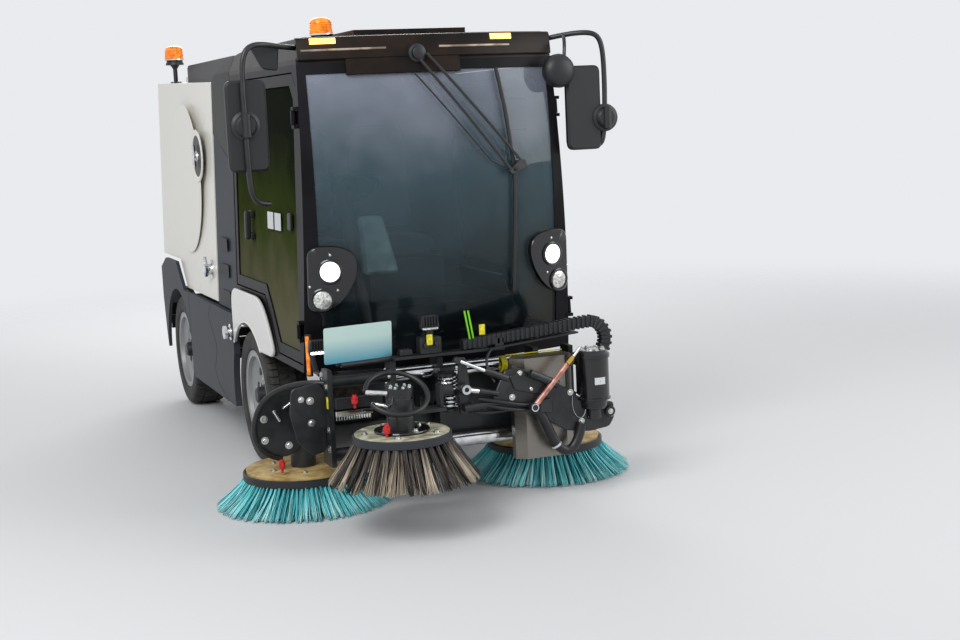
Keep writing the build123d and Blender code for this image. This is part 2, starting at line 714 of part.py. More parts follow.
# cross housing: two chrome sleeves held in a black frame across the front
with BuildPart() as cross_housing:
    half = sleeve_half_length
    block((-half, half), (slide_y + 36, rail_front_y), (230, 600))
    for x, front_y in ((-half, slide_y - 35), (-130, slide_y - 60), (half - 24, slide_y - 60)):
        block((x, x + 24), (front_y, slide_y + 40), (225, tray_low_z - face_gap))
    for z in (slide_high_z, slide_low_z):
        bar((-half - 1, slide_y, z), (half + 1, slide_y, z), sleeve_radius, mode=Mode.SUBTRACT)
    for x in (boom_x - boom_width / 2 - face_gap - 8, boom_x + boom_width / 2 + face_gap):
        block((x, x + 8), (boom_base_y - 26, slide_y + 37), (boom_base_z - 26, boom_base_z + 26))
    bar((boom_x - boom_width / 2 - 8, boom_base_y, boom_base_z), (boom_x + boom_width / 2 + 8, boom_base_y, boom_base_z),
        boom_pin_radius)
    # spring and damper between two lugs
    for z in (425, 585):
        block((-131, -60), (-1545, -1500), (z, z + 14))
    bar((-85, -1525, 438), (-85, -1525, 586), 24)
write(cross_housing.part, "cross_housing")

with BuildPart() as slide_sleeves:
    for z in (slide_high_z, slide_low_z):
        bar((-sleeve_half_length - 12, slide_y, z), (sleeve_half_length + 12, slide_y, z), sleeve_radius)
        bar((-sleeve_half_length - 20, slide_y, z), (sleeve_half_length + 20, slide_y, z), rod_radius + sleeve_gap,
            mode=Mode.SUBTRACT)
write(slide_sleeves.part, "slide_sleeves")

# stainless box beside the left head
box_rear_y = slide_y - 60 - face_gap
with BuildPart() as steel_box:
    with BuildSketch(Plane.XY.offset(185)):
        with BuildLine():
            Polyline((215, box_rear_y), (175, slide_y - 105), (175, slide_y - 140), (215, slide_y - 175),
                     (400, slide_y - 175), (440, slide_y - 150), (440, box_rear_y), close=True)
        make_face()
    extrude(amount=430)
write(steel_box.part, "steel_box")

# each gutter brush: head on its rods, two links, motor carrier, disc and bristles
link_reach = (link_rear_y - link_front_y, -link_drop)
for side in (1, -1):
    name = door_names[side]
    plate = side_range(side, head_x[side] - head_thickness, head_x[side])
    brush_x = side * (head_x[side] + brush_offset_x)
    link_x = side_range(side, head_x[side] + 2, head_x[side] + 2 + link_thickness)
    with BuildPart() as head:
        side_plate([(slide_y - 44, 225), (slide_y + 80, 225), (slide_y + 80, 470), (slide_y + 40, 630),
                    (slide_y - 44, 630)], plate)
        for z in (slide_high_z, slide_low_z):
            inner = head_x[side] - head_thickness - rod_length
            bar((side * inner, slide_y, z), (side * (head_x[side] - 1), slide_y, z), rod_radius)
        bar((side * head_x[side], link_front_y, link_high_z), (side * (head_x[side] + 20), link_front_y, link_high_z), 10)
    write(head.part, "head_" + name)

    with BuildPart() as link:
        with BuildSketch(Plane.YZ.offset(link_x[0])):
            with BuildLine():
                angle = atan2(link_reach[1], link_reach[0])
                dy, dz = 26 * sin(angle), 26 * cos(angle)
                Polyline((link_front_y - dy, link_high_z + dz), (link_rear_y - dy, link_high_z - link_drop + dz),
                         (link_rear_y + dy, link_high_z - link_drop - dz), (link_front_y + dy, link_high_z - dz),
                         close=True)
            make_face()
            for y, z in ((link_front_y, link_high_z), (link_rear_y, link_high_z - link_drop)):
                with Locations((y, z)):
                    Circle(26)
            for y, z in ((link_front_y, link_high_z), (link_rear_y, link_high_z - link_drop)):
                with Locations((y, z)):
                    Circle(10 + pivot_gap, mode=Mode.SUBTRACT)
        extrude(amount=link_thickness)
    write(link.part, "arm_" + name)

    knee_z = link_high_z - link_drop
    carrier_low = brush_disc_low_z + brush_disc_thickness + 6
    with BuildPart() as carrier:
        x = side_range(side, head_x[side] - 12, head_x[side])
        side_plate([(link_rear_y - 24, knee_z - 24), (link_rear_y + 24, knee_z - 24), (brush_y + 40, 250),
                    (brush_y + 40, 300), (link_rear_y + 24, knee_z + 24), (link_rear_y - 24, knee_z + 24)], x)
        bar((side * (head_x[side] - 1), link_rear_y, knee_z), (side * (head_x[side] + 20), link_rear_y, knee_z), 10)
        bar((brush_x, brush_y, carrier_low), (brush_x, brush_y, carrier_low + motor_height), motor_radius)
    write(carrier.part, "carrier_" + name)

    with BuildPart() as disc:
        bar((brush_x, brush_y, brush_disc_low_z), (brush_x, brush_y, brush_disc_low_z + brush_disc_thickness),
            brush_disc_radius)
        bar((brush_x, brush_y, brush_disc_low_z), (brush_x, brush_y, carrier_low - face_gap), 30)
    write(disc.part, "brush_disc_" + name)

    with BuildPart() as bristles:
        with BuildSketch(Plane.XZ.offset(-brush_y)):
            with BuildLine():
                Polyline((brush_x + 120, brush_disc_low_z), (brush_x + brush_disc_radius - 8, brush_disc_low_z),
                         (brush_x + bristle_radius, 1), (brush_x + 210, 1), close=True)
            make_face()
        revolve(axis=Axis((brush_x, brush_y, 0), (0, 0, 1)))
    write(bristles.part, "bristles_" + name)

# front brush: boom link, carrier with motor, disc and bristles
boom_x_range = (boom_x - boom_width / 2, boom_x + boom_width / 2)
with BuildPart() as boom:
    bar((boom_x_range[0], boom_base_y, boom_base_z), (boom_x_range[1], boom_base_y, boom_base_z), 24)
    bar((boom_x_range[0], boom_tip_y, boom_tip_z), (boom_x_range[1], boom_tip_y, boom_tip_z), 24)
    angle = atan2(boom_tip_z - boom_base_z, boom_tip_y - boom_base_y)
    dy, dz = 20 * sin(angle), 20 * cos(angle)
    side_plate([(boom_base_y - dy, boom_base_z + dz), (boom_tip_y - dy, boom_tip_z + dz),
                (boom_tip_y + dy, boom_tip_z - dz), (boom_base_y + dy, boom_base_z - dz)],
               (boom_x_range[0] + 8, boom_x_range[1] - 8))
    for y, z in ((boom_base_y, boom_base_z), (boom_tip_y, boom_tip_z)):
        bar((boom_x_range[0] - 1, y, z), (boom_x_range[1] + 1, y, z), boom_pin_radius + pivot_gap, mode=Mode.SUBTRACT)
write(boom.part, "boom")

with BuildPart() as boom_carrier:
    x = (boom_x_range[0] - 14, boom_x_range[0] - face_gap)
    side_plate([(boom_tip_y + 26, boom_tip_z - 60), (boom_tip_y + 26, boom_tip_z + 30), (boom_tip_y - 26, boom_tip_z + 30),
                (boom_tip_y - 26, boom_tip_z - 60)], x)
    block((front_brush_x, x[1]), (front_brush_y + 30, boom_tip_y + 26), (boom_tip_z - 74, boom_tip_z - 60))
    bar((x[0], boom_tip_y, boom_tip_z), (boom_x_range[1] + 4, boom_tip_y, boom_tip_z), boom_pin_radius)
    motor_low = front_disc_low_z + front_disc_thickness + 6
    bar((front_brush_x, front_brush_y, motor_low), (front_brush_x, front_brush_y, motor_low + front_motor_height),
        front_motor_radius)
write(boom_carrier.part, "boom_carrier")

with BuildPart() as front_disc:
    bar((front_brush_x, front_brush_y, front_disc_low_z),
        (front_brush_x, front_brush_y, front_disc_low_z + front_disc_thickness), front_disc_radius)
    bar((front_brush_x, front_brush_y, front_disc_low_z), (front_brush_x, front_brush_y, motor_low - face_gap), 30)
write(front_disc.part, "front_disc")

with BuildPart() as front_bristles:
    with BuildSketch(Plane.XZ.offset(-front_brush_y)):
        with BuildLine():
            x = front_brush_x
            Polyline((x + 110, front_disc_low_z), (x + front_disc_radius - 8, front_disc_low_z),
                     (x + front_bristle_radius, front_bristle_low_z), (x + 180, front_bristle_low_z), close=True)
        make_face()
    revolve(axis=Axis((front_brush_x, front_brush_y, 0), (0, 0, 1)))
write(front_bristles.part, "front_bristles")

# cable chain on its tray over the left head
with BuildPart() as cable_chain:
    block((-150, 560), (-1560, -1500), (tray_low_z, tray_low_z + 12))
    block((-100, 560), (-1550, -1510), (tray_low_z + 12, tray_low_z + 60))
    with BuildSketch(Plane.XZ.offset(1550)):
        with Locations((560, 650)):
            Circle(70)
            Circle(28, mode=Mode.SUBTRACT)
            with Locations((-100, 0)):
                Rectangle(200, 200, mode=Mode.SUBTRACT)
    extrude(amount=-40)
write(cable_chain.part, "cable_chain")

# lamp pods, mirrors, seats and steering
with BuildPart() as lamp_pods:
    for side in (1, -1):
        with BuildSketch(Plane.XZ.offset(1200)):
            with BuildLine():
                Polyline((side * 400, 1010), (side * 430, 1090), (side * 500, 1118), (side * 552, 1100),
                         (side * 568, 900), (side * 540, 835), (side * 500, 845), close=True)
            make_face()
        extrude(amount=200)
    add(front_barrel(-26), mode=Mode.INTERSECT)
    add(front_barrel(-0.5), mode=Mode.SUBTRACT)
write(lamp_pods.part, "lamp_pods")

with BuildPart() as lamp_lenses:
    for side in (1, -1):
        for x, z, r in ((503, 1015, 42), (537, 897, 39)):
            with BuildSketch(Plane.XZ.offset(1200)):
                with Locations((side * x, z)):
                    Circle(r)
            extrude(amount=200)
    add(front_barrel(-34), mode=Mode.INTERSECT)
    add(front_barrel(-26.2), mode=Mode.SUBTRACT)
write(lamp_lenses.part, "lamp_lenses")

with BuildPart() as mirrors:
    for side in (1, -1):
        bar((side * 540, -1170, 1935), (side * 850, -1240, 1950), 14)
        bar((side * 850, -1240, 1957), (side * 840, -1240, 1310 if side < 0 else 1470), 14)
        block(side_range(side, 770, 945), (-1300, -1250), (1450, 1820))
    add(cab_body(-face_gap), mode=Mode.SUBTRACT)
write(mirrors.part, "mirrors")

with BuildPart() as seat_frames:
    for x in (-280, 130):
        block((x - 190, x + 190), (-420, 0), (step_z + cab_wall, 960))
write(seat_frames.part, "seat_frames")

with BuildPart() as seat_pads:
    for x in (-280, 130):
        block((x - 185, x + 185), (-430, 0), (960, 1070))
        side_plate([(-100, 1070.5), (0, 1070.5), (25, 1620), (-60, 1620)], (x - 180, x + 180))
write(seat_pads.part, "seat_pads")

with BuildPart() as steering:
    column = ((-280, -1080, sill_z + cab_wall + 15), (-280, -760, 1320))
    block((-330, -230), (-1130, -1030), (sill_z + cab_wall, sill_z + cab_wall + 30))
    bar(column[0], column[1], 32)
    lean_plane = Plane(origin=column[1], z_dir=Vector(*column[1]) - Vector(*column[0]))
    with BuildSketch(lean_plane):
        Circle(185)
        Circle(163, mode=Mode.SUBTRACT)
        Rectangle(340, 30)
    extrude(amount=22)
write(steering.part, "steering")
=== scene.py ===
# %% [markdown]
# # Dressing a compact street sweeper
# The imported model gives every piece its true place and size. This lesson gives each one its finish,
# and makes the things that a solid model can't hold well: tread, bristles, cloth, bolts and hoses.

import bmesh
import bpy
import numpy as np
from mathutils import Matrix


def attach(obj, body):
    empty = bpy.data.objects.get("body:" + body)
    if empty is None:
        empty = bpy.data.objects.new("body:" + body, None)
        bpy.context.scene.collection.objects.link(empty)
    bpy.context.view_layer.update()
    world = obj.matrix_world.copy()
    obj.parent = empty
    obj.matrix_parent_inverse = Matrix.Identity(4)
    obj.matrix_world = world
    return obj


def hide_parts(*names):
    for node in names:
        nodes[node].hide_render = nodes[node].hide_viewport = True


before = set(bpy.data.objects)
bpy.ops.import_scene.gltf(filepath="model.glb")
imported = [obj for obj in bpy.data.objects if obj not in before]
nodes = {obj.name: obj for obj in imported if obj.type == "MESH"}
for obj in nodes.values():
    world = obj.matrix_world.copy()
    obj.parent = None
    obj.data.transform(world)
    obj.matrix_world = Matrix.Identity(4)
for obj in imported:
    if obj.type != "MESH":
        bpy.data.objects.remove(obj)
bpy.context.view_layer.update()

# %% [markdown]
# ## The camera
# The lens was worked out from the lamps, the roof corners and the wheels, whose real spacing is known.
# A camera looks along its own -Z, so its three axes are built from the direction of view and a small roll.

# %% Place the camera
eye = np.array([-2.263, -7.529, 1.657])
yaw, pitch, roll = np.radians([-21.21, -7.74, -2.6])
focal_px, frame_px = 1542.6, 960

forward = np.array([-np.sin(yaw) * np.cos(pitch), np.cos(yaw) * np.cos(pitch), np.sin(pitch)])
level_right = np.array([np.cos(yaw), np.sin(yaw), 0.0])
level_up = np.cross(level_right, forward)
right = level_right * np.cos(roll) + level_up * np.sin(roll)
up = level_up * np.cos(roll) - level_right * np.sin(roll)

camera = bpy.data.objects.new("camera", bpy.data.cameras.new("camera"))
bpy.context.scene.collection.objects.link(camera)
pose = np.eye(4)
pose[:3] = np.stack([right, up, -forward, eye], -1)
camera.matrix_world = Matrix(pose)
camera.data.sensor_width = 36.0
camera.data.lens = focal_px / frame_px * camera.data.sensor_width
bpy.context.scene.camera = camera
print("lens", round(camera.data.lens, 2), "mm")

# %% [markdown]
# ## Small tools for meshes
# Every new piece is worked out as whole arrays of points. One helper turns points and faces into an
# object at the origin, and the others give the shapes that come back most: a turned profile and a tube.


# %% Mesh helpers
sky, front_out = (0, 0, 1), (0, -1, 0)


def welded(mesh):
    """Joins points that coincide, so that poles and seams are closed, and turns closed shells outwards."""
    work = bmesh.new()
    work.from_mesh(mesh)
    bmesh.ops.remove_doubles(work, verts=work.verts, dist=1e-6)
    bmesh.ops.recalc_face_normals(work, faces=work.faces)
    work.to_mesh(mesh)
    work.free()


def make(name, points, faces, body, slot, finish, closed=True, crisp=35):
    """An object from arrays of points and faces, riding on a body with one finish; edges over crisp degrees show."""
    mesh = bpy.data.meshes.new(name)
    mesh.from_pydata(np.asarray(points, float).reshape(-1, 3).tolist(), [], [list(map(int, f)) for f in faces])
    if closed:
        welded(mesh)
    mesh.polygons.foreach_set("use_smooth", np.ones(len(mesh.polygons), bool))
    mesh.set_sharp_from_angle(angle=np.radians(crisp))
    mesh.materials.append(finish)
    mesh.update()
    piece = bpy.data.objects.new(name, mesh)
    bpy.context.scene.collection.objects.link(piece)
    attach(piece, body)
    return piece


def joined(*parts):
    """Several (points, faces) pairs as one pair, with the face numbers moved along."""
    points, faces, start = [], [], 0
    for p, f in parts:
        p = np.asarray(p, float).reshape(-1, 3)
        points.append(p)
        faces.extend([[int(i) + start for i in face] for face in f])
        start += len(p)
    return np.concatenate(points), faces


def add(name, body, skin, *parts):
    """One closed piece from its parts; skin is the pair of slot name and finish, and the slot name is not used."""
    return make(name, *joined(*parts), body, *skin)


def grid_faces(rows, columns, wrap_rows=False, wrap_columns=False):
    """Quads between neighbouring points of a rows x columns grid, closed on itself where asked."""
    r = np.arange(rows if wrap_rows else rows - 1)[:, None]
    c = np.arange(columns if wrap_columns else columns - 1)[None, :]
    r2, c2 = (r + 1) % rows, (c + 1) % columns
    quads = np.stack(np.broadcast_arrays(r * columns + c, r * columns + c2, r2 * columns + c2, r2 * columns + c), -1)
    return quads.reshape(-1, 4)


def capped(rings, count):
    """Faces of a pipe of rings with count points each, with one more face over each end."""
    last = (rings - 1) * count
    walls = [list(face) for face in grid_faces(rings, count, False, True)]
    return walls + [list(range(count))[::-1], list(range(last, last + count))]


def circle_steps(count, start=0.0):
    """Angles of count equal steps round a circle from a start angle."""
    return np.linspace(start, 2 * np.pi + start, count, endpoint=False)


def spun(profile, centre, axis, turns=48, closed=False):
    """A profile of (along, radius) points turned about an axis: point = centre + axis*along + radial*radius."""
    axis = np.asarray(axis, float) / np.linalg.norm(axis)
    side = np.cross(axis, [0.3, 0.5, 0.81])
    side /= np.linalg.norm(side)
    other = np.cross(axis, side)
    angle = circle_steps(turns)
    radial = np.cos(angle)[:, None] * side + np.sin(angle)[:, None] * other
    profile = np.asarray(profile, float)
    points = np.asarray(centre) + profile[None, :, :1] * axis + profile[None, :, 1:] * radial[:, None, :]
    return points.reshape(-1, 3), grid_faces(turns, len(profile), True, closed)


def drum(low, high, radius, centre, axis, turns, inner=0.0):
    """A plain turned disc, or a ring where it has an inner radius."""
    return spun([(low, inner), (low, radius), (high, radius), (high, inner)], centre, axis, turns, inner > 0)


def tube(path, radius, sides=12):
    """A tube along a path of points: each ring lies across the path's direction, with ends capped."""
    path = np.asarray(path, float)
    along = np.gradient(path, axis=0)
    along /= np.linalg.norm(along, axis=1, keepdims=True)
    fixed = np.cross(along.mean(0) + [0.01, 0.02, 0.03], [0.21, 0.35, 0.91])
    first = np.cross(along, fixed)
    first /= np.linalg.norm(first, axis=1, keepdims=True)
    second = np.cross(along, first)
    angle = circle_steps(sides)[None, :, None]
    points = path[:, None] + (np.cos(angle) * first[:, None] + np.sin(angle) * second[:, None]) * radius
    return points.reshape(-1, 3), capped(len(path), sides)


# %% [markdown]
# Flat pieces and strips share more helpers. A slab is an outline carried through a small thickness
# with its edges broken, a strip is a section carried along a path, and a slab takes a function that says
# where a point (u, v, height) lies, so the same outline can lie on a flat plate or on the bulged front.

# %% Outlines, slabs and strips
def rounded(outline, radius, steps=5):
    """Corners softened: each is the curve (1-t)^2*start + 2t(1-t)*corner + t^2*end, radius away along both runs."""
    corner = np.asarray(outline, float)
    back, ahead = np.roll(corner, 1, 0) - corner, np.roll(corner, -1, 0) - corner
    back_length = np.linalg.norm(back, axis=1, keepdims=True)
    ahead_length = np.linalg.norm(ahead, axis=1, keepdims=True)
    start = corner + back / back_length * np.minimum(radius, back_length * 0.49)
    end = corner + ahead / ahead_length * np.minimum(radius, ahead_length * 0.49)
    t = np.linspace(0, 1, steps)[None, :, None]
    curve = (1 - t) ** 2 * start[:, None] + 2 * t * (1 - t) * corner[:, None] + t**2 * end[:, None]
    return curve.reshape(-1, corner.shape[1])


def box(left, right, low, high, radius, steps=3):
    """The outline of a rectangle with softened corners."""
    return rounded([(left, low), (right, low), (right, high), (left, high)], radius, steps)


def eased(points, steps=7):
    """Cubic B-spline of a few route points: weights ((1-t)^3, 3t^3-6t^2+4, -3t^3+3t^2+3t+1, t^3) / 6 per span."""
    route = np.asarray(points, float)
    p = np.concatenate([2 * route[:1] - route[1:2], route, 2 * route[-1:] - route[-2:-1]])
    t = np.linspace(0, 1, steps, endpoint=False)
    weight = np.stack([(1 - t) ** 3, 3 * t**3 - 6 * t**2 + 4, -3 * t**3 + 3 * t**2 + 3 * t + 1, t**3]) / 6
    spans = np.stack([p[i:len(p) - 3 + i] for i in range(4)])
    return np.concatenate([np.einsum("ks,knd->nsd", weight, spans).reshape(-1, p.shape[1]), route[-1:]])


def stacked(rings, place):
    """A closed solid from (outline, height) rings above one another."""
    points = np.concatenate([place(ring[:, 0], ring[:, 1], height + 0 * ring[:, 0]) for ring, height in rings])
    return points, capped(len(rings), len(rings[0][0]))


def slab(outline, place, low, high, bevel=0.002):
    """Rings of one outline from low to high, drawn in by the bevel at both ends."""
    outline = np.asarray(outline, float)
    run = np.roll(outline, -1, 0) - np.roll(outline, 1, 0)
    area = np.sum(outline[:, 0] * np.roll(outline[:, 1], -1) - np.roll(outline[:, 0], -1) * outline[:, 1])
    inward = np.stack([-run[:, 1], run[:, 0]], -1) / np.linalg.norm(run, axis=1, keepdims=True) * np.sign(area)
    drawn_in = outline + inward * bevel
    return stacked([(drawn_in, low), (outline, low + bevel), (outline, high - bevel), (drawn_in, high)], place)


def pillow(outline, place, rings):
    """A closed crowned form: each ring is centre + share*(outline - centre), at its own height."""
    centre = outline.mean(0)
    return stacked([(centre + share * (outline - centre), height) for share, height in rings], place)


def strip(path, section, out):
    """A closed section of (sideways, outwards) points carried along a path; out is the outward direction."""
    path = np.asarray(path, float)
    along = np.gradient(path, axis=0)
    along /= np.linalg.norm(along, axis=1, keepdims=True)
    side = np.cross(along, np.broadcast_to(out, path.shape))
    side /= np.linalg.norm(side, axis=1, keepdims=True)
    outward = np.cross(side, along)
    points = path[:, None] + section[None, :, :1] * side[:, None] + section[None, :, 1:] * outward[:, None]
    return points.reshape(-1, 3), capped(len(path), len(section))


def bar_section(width, height, base=0.0, corner=0.002):
    """A rounded rectangle section, width across and from base to base + height outwards."""
    return box(-width / 2, width / 2, base, base + height, corner)


def rod(start, end, radius, bevel=0.0015):
    """A round bar between two points, with its end edges broken."""
    start, end = np.asarray(start, float), np.asarray(end, float)
    length = np.linalg.norm(end - start)
    return spun([(0, 0), (0, radius - bevel), (bevel, radius), (length - bevel, radius), (length, radius - bevel),
                 (length, 0)], start, end - start, 24)


def rods(rows, plane=0.0):
    """Round bars from rows of (x, y, z, x, y, z, radius), with y measured from a plane."""
    return [rod((x, plane + y, z), (x2, plane + y2, z2), radius) for x, y, z, x2, y2, z2, radius in rows]


def bolts(places, axis, radius, height):
    """A washer and a hexagon head at each place, standing on a surface along axis."""
    washer = [(0, 0), (0, 1.5 * radius), (0.25 * height, 1.5 * radius), (0.3 * height, 0)]
    head = [(0, 0), (0, radius), (0.85 * height, radius), (height, 0.82 * radius), (height, 0)]
    return [spun(profile, place, axis, turns) for place in places for profile, turns in ((washer, 16), (head, 6))]


def bolt_ring(centre, ring_radius, angles, radius, height):
    """Upright bolts on a circle round a centre."""
    x, y, z = centre
    return bolts([(x + ring_radius * np.cos(a), y + ring_radius * np.sin(a), z) for a in angles], sky, radius, height)


# %% [markdown]
# The front of the cab is a barrel: its upright profile is a shallow arc and it is turned about a line far
# behind the windscreen. The sides lean in by a constant slope. Pieces on them use the same two formulas.

# %% Where the body surfaces lie
barrel_y = 0.5
arc_points = np.array([(-1.290, 0.48), (-1.350, 1.15), (-1.285, 1.99)])


def circle_through(p):
    """Centre and radius of the circle through three points, from the two equal-distance equations."""
    centre = np.linalg.solve(2 * (p[1:] - p[0]), (p[1:] ** 2).sum(1) - (p[0] ** 2).sum())
    return centre, np.linalg.norm(p[0] - centre)


arc_centre, arc_radius = circle_through(arc_points)


def on_front(x, z, proud):
    """Point of the bulged front: y = barrel - sqrt((reach(z) + proud)^2 - x^2)."""
    reach = barrel_y - (arc_centre[0] - np.sqrt(arc_radius**2 - (z - arc_centre[1]) ** 2))
    return np.stack([x, barrel_y - np.sqrt((reach + proud) ** 2 - x**2), z], -1)


def front_point(x, z, proud=0.0):
    """One point of the bulged front."""
    return on_front(np.array([x]), np.array([z]), proud)[0]


def on_side(side, base=0.0):
    """A place function for the leaning side, whose half width goes from 622 mm at 0.58 m to 578 mm at 1.90 m."""
    half_width = lambda z: 0.622 - 0.044 * (z - 0.58) / 1.32
    return lambda y, z, proud: np.stack([side * (half_width(z) + base + proud), y, z], -1)


def facing_front(y):
    """A place function for a flat plate that faces the front, standing forward from y."""
    return lambda x, z, proud: np.stack([x, y - proud, z], -1)


def facing_side(side, x):
    """A place function for a flat plate that faces the side, standing outwards from x."""
    return lambda y, z, proud: np.stack([side * (x + proud), y, z], -1)


def front_band(x_low, x_high, section, columns):
    """A section of (z, proud) points carried across the bulged front from x_low to x_high, ends capped."""
    section = np.asarray(section, float)
    grid_x, grid_z = np.meshgrid(np.linspace(x_low, x_high, columns), section[:, 0], indexing="ij")
    return on_front(grid_x, grid_z, section[None, :, 1]).reshape(-1, 3), capped(columns, len(section))


print("front at the middle", front_point(0.0, 1.15).round(3))

# %% [markdown]
# ## Finishes
# Each finish starts from what the real surface is made of. Colours are written as sRGB hex values, as a
# paint chart gives them, and one function turns them linear, which is what the shader wants.


# %% Colour and node helpers
def linear(colour):
    """sRGB hex to linear: c/12.92 below 0.04045, else ((c+0.055)/1.055)^2.4."""
    value = np.array([int(colour[i:i + 2], 16) for i in (1, 3, 5)]) / 255
    return (*np.where(value <= 0.04045, value / 12.92, ((value + 0.055) / 1.055) ** 2.4).tolist(), 1.0)


def node(tree, kind, settings=None, inputs=None):
    """Adds one node, sets its settings, and sets or links each input by name or number."""
    new = tree.nodes.new(kind)
    for key, value in (settings or {}).items():
        setattr(new, key, value)
    for key, value in (inputs or {}).items():
        if isinstance(value, bpy.types.NodeSocket):
            tree.links.new(value, new.inputs[key])
        else:
            new.inputs[key].default_value = value
    return new


def noise_at(tree, place, scale, detail):
    """Noise on the piece's own coordinates in metres."""
    return node(tree, "ShaderNodeTexNoise", None,
                {"Vector": place.outputs["Object"], "Scale": scale, "Detail": detail}).outputs["Fac"]


def mapped(tree, value, span=(0.0, 1.0), to=(0.0, 1.0)):
    """A value taken from one span to another."""
    return node(tree, "ShaderNodeMapRange", None, {"Value": value, "From Min": span[0], "From Max": span[1],
                                                   "To Min": to[0], "To Max": to[1]}).outputs["Result"]


def blended(tree, shader, share, low, high):
    """Base colour between two colours by a share."""
    mix = node(tree, "ShaderNodeMix", {"data_type": "RGBA"}, {0: share, 6: linear(low), 7: linear(high)})
    tree.links.new(mix.outputs[2], shader.inputs["Base Color"])


def finish(name, base, roughness=0.5, metallic=0.0, **sockets):
    """A material with its Principled shader set; returns material, tree and shader."""
    new = bpy.data.materials.new(name)
    new.use_nodes = True
    shader = new.node_tree.nodes["Principled BSDF"]
    values = {"Base Color": linear(base), "Roughness": roughness, "Metallic": metallic, **sockets}
    for key, value in values.items():
        shader.inputs[key.replace("_", " ")].default_value = value
    return new, new.node_tree, shader


def coat(name, base, roughness, bumps, drift=None, dust=None, **sockets):
    """A finish with bumps, and with patches or dust where asked.

    bumps: cell size in mm, strength, distance in mm. drift: two colours, patch size in mm, span of the noise.
    dust: height in metres below which it settles, and its most; it is broken up by noise.
    """
    new, tree, shader = finish(name, base, roughness, **sockets)
    place = node(tree, "ShaderNodeTexCoord")
    size_mm, strength, distance_mm = (*bumps, 0.1)[:3]
    bump = node(tree, "ShaderNodeBump", None, {"Height": noise_at(tree, place, 1000 / size_mm, 2.0),
                                               "Strength": strength, "Distance": distance_mm / 1000})
    tree.links.new(bump.outputs["Normal"], shader.inputs["Normal"])
    if drift:
        low, high, patch_mm, span = (*drift, (0.4, 0.6))[:4]
        blended(tree, shader, mapped(tree, noise_at(tree, place, 1000 / patch_mm, 4.0), span), low, high)
    if dust:
        height = node(tree, "ShaderNodeSeparateXYZ", None, {0: place.outputs["Object"]}).outputs["Z"]
        settled = mapped(tree, height, (dust[0], 0.0), (0.0, dust[1]))
        share = node(tree, "ShaderNodeMath", {"operation": "MULTIPLY"},
                     {0: settled, 1: noise_at(tree, place, 9.0, 6.0)})
        blended(tree, shader, share.outputs[0], base, "#8A847A")
    return new


def glow(colour, strength):
    """The two sockets that make a finish glow."""
    return {"Emission_Color": linear(colour), "Emission_Strength": strength}


# %% [markdown]
# Gelcoat and body paint are pale and glossy, with the faint waviness of a sprayed coat. The dark lower
# panels are moulded ABS with a fine grain that breaks up the shine.

# %% Paint and plastic finishes
gelcoat = coat("gelcoat_white", "#DDDDD8", 0.28, (12, 0.06), dust=(1.0, 0.25), Coat_Weight=0.4, Coat_Roughness=0.12)
hopper_paint = coat("hopper_paint", "#E4E1D8", 0.34, (25, 0.08, 0.2), dust=(1.2, 0.25), Coat_Weight=0.3,
                    Coat_Roughness=0.2)
moulded_grey = coat("moulded_grey_abs", "#33373E", 0.5, (1.5, 0.3), dust=(0.7, 0.18), Specular_IOR_Level=0.15)
powder_black = coat("powder_coat_black", "#16171A", 0.38, (3, 0.25, 0.1), ("#121315", "#222426", 60))
cab_black = coat("cab_enamel_black", "#0E0D11", 0.4, (20, 0.05), ("#0B0A0D", "#151318", 250), Specular_IOR_Level=0.1)
moulded_black = coat("moulded_black_plastic", "#17181A", 0.45, (1.2, 0.4))
gloss_black = coat("gloss_black_plastic", "#0C0C0F", 0.2, (30, 0.03), ("#0A0A0C", "#131216", 120), Coat_Weight=0.3)
roof_black = coat("roof_black_brown", "#19130F", 0.36, (18, 0.08), ("#14100E", "#241A14", 160), Specular_IOR_Level=0.15)
cast = coat("cast_iron_bare", "#3A3836", 0.65, (4, 0.5, 0.3), ("#2C2B2A", "#54483E", 35), Metallic=0.6)
rim_paint = coat("rim_silver_paint", "#9A9C9F", 0.4, (8, 0.08), dust=(0.9, 0.5), Metallic=0.35)

# %% [markdown]
# Metals: hard chrome on the slide tubes, zinc on the bolts, scuffed steel on the duct, and stainless sheet
# whose brushing runs along the piece. Brushing is noise stretched a hundred times in one direction.

# %% Metal finishes
chrome = coat("hard_chrome", "#D8DADC", 0.09, (30, 0.03), ("#C3C6C9", "#E6E7E8", 40), Metallic=1.0)
zinc = coat("zinc_plated", "#C9CBC8", 0.25, (2, 0.15), Metallic=1.0)
duct_steel = coat("scuffed_steel", "#2B2C2E", 0.5, (6, 0.3, 0.2), ("#1E1F21", "#4B4844", 70), Metallic=0.4)

stainless, t, s = finish("stainless_sheet", "#86827B", 0.42, 1.0)
place = node(t, "ShaderNodeTexCoord")
stretch = node(t, "ShaderNodeMapping", None, {"Vector": place.outputs["Object"], "Scale": (6, 6, 600)})
brushing = node(t, "ShaderNodeTexNoise", None, {"Vector": stretch.outputs[0], "Scale": 1.0, "Detail": 3.0})
t.links.new(mapped(t, brushing.outputs["Fac"], to=(0.18, 0.45)), s.inputs["Roughness"])

# %% [markdown]
# Rubber is nearly black and greys with dust. Bristles are drawn polypropylene on the two gutter brushes
# and flat steel wire on the front brush; each bristle carries its own shade in an attribute, which mixes its
# own tone with painted shade towards its root and painted highlights and dark gaps between strands.

# %% Rubber and bristle finishes
tyre_rubber = coat("tyre_rubber", "#1B1B1C", 0.7, (3, 0.3, 0.2), ("#191919", "#2E2C2A", 90))
hose_rubber = coat("hose_rubber", "#141416", 0.42, (2.5, 0.3))


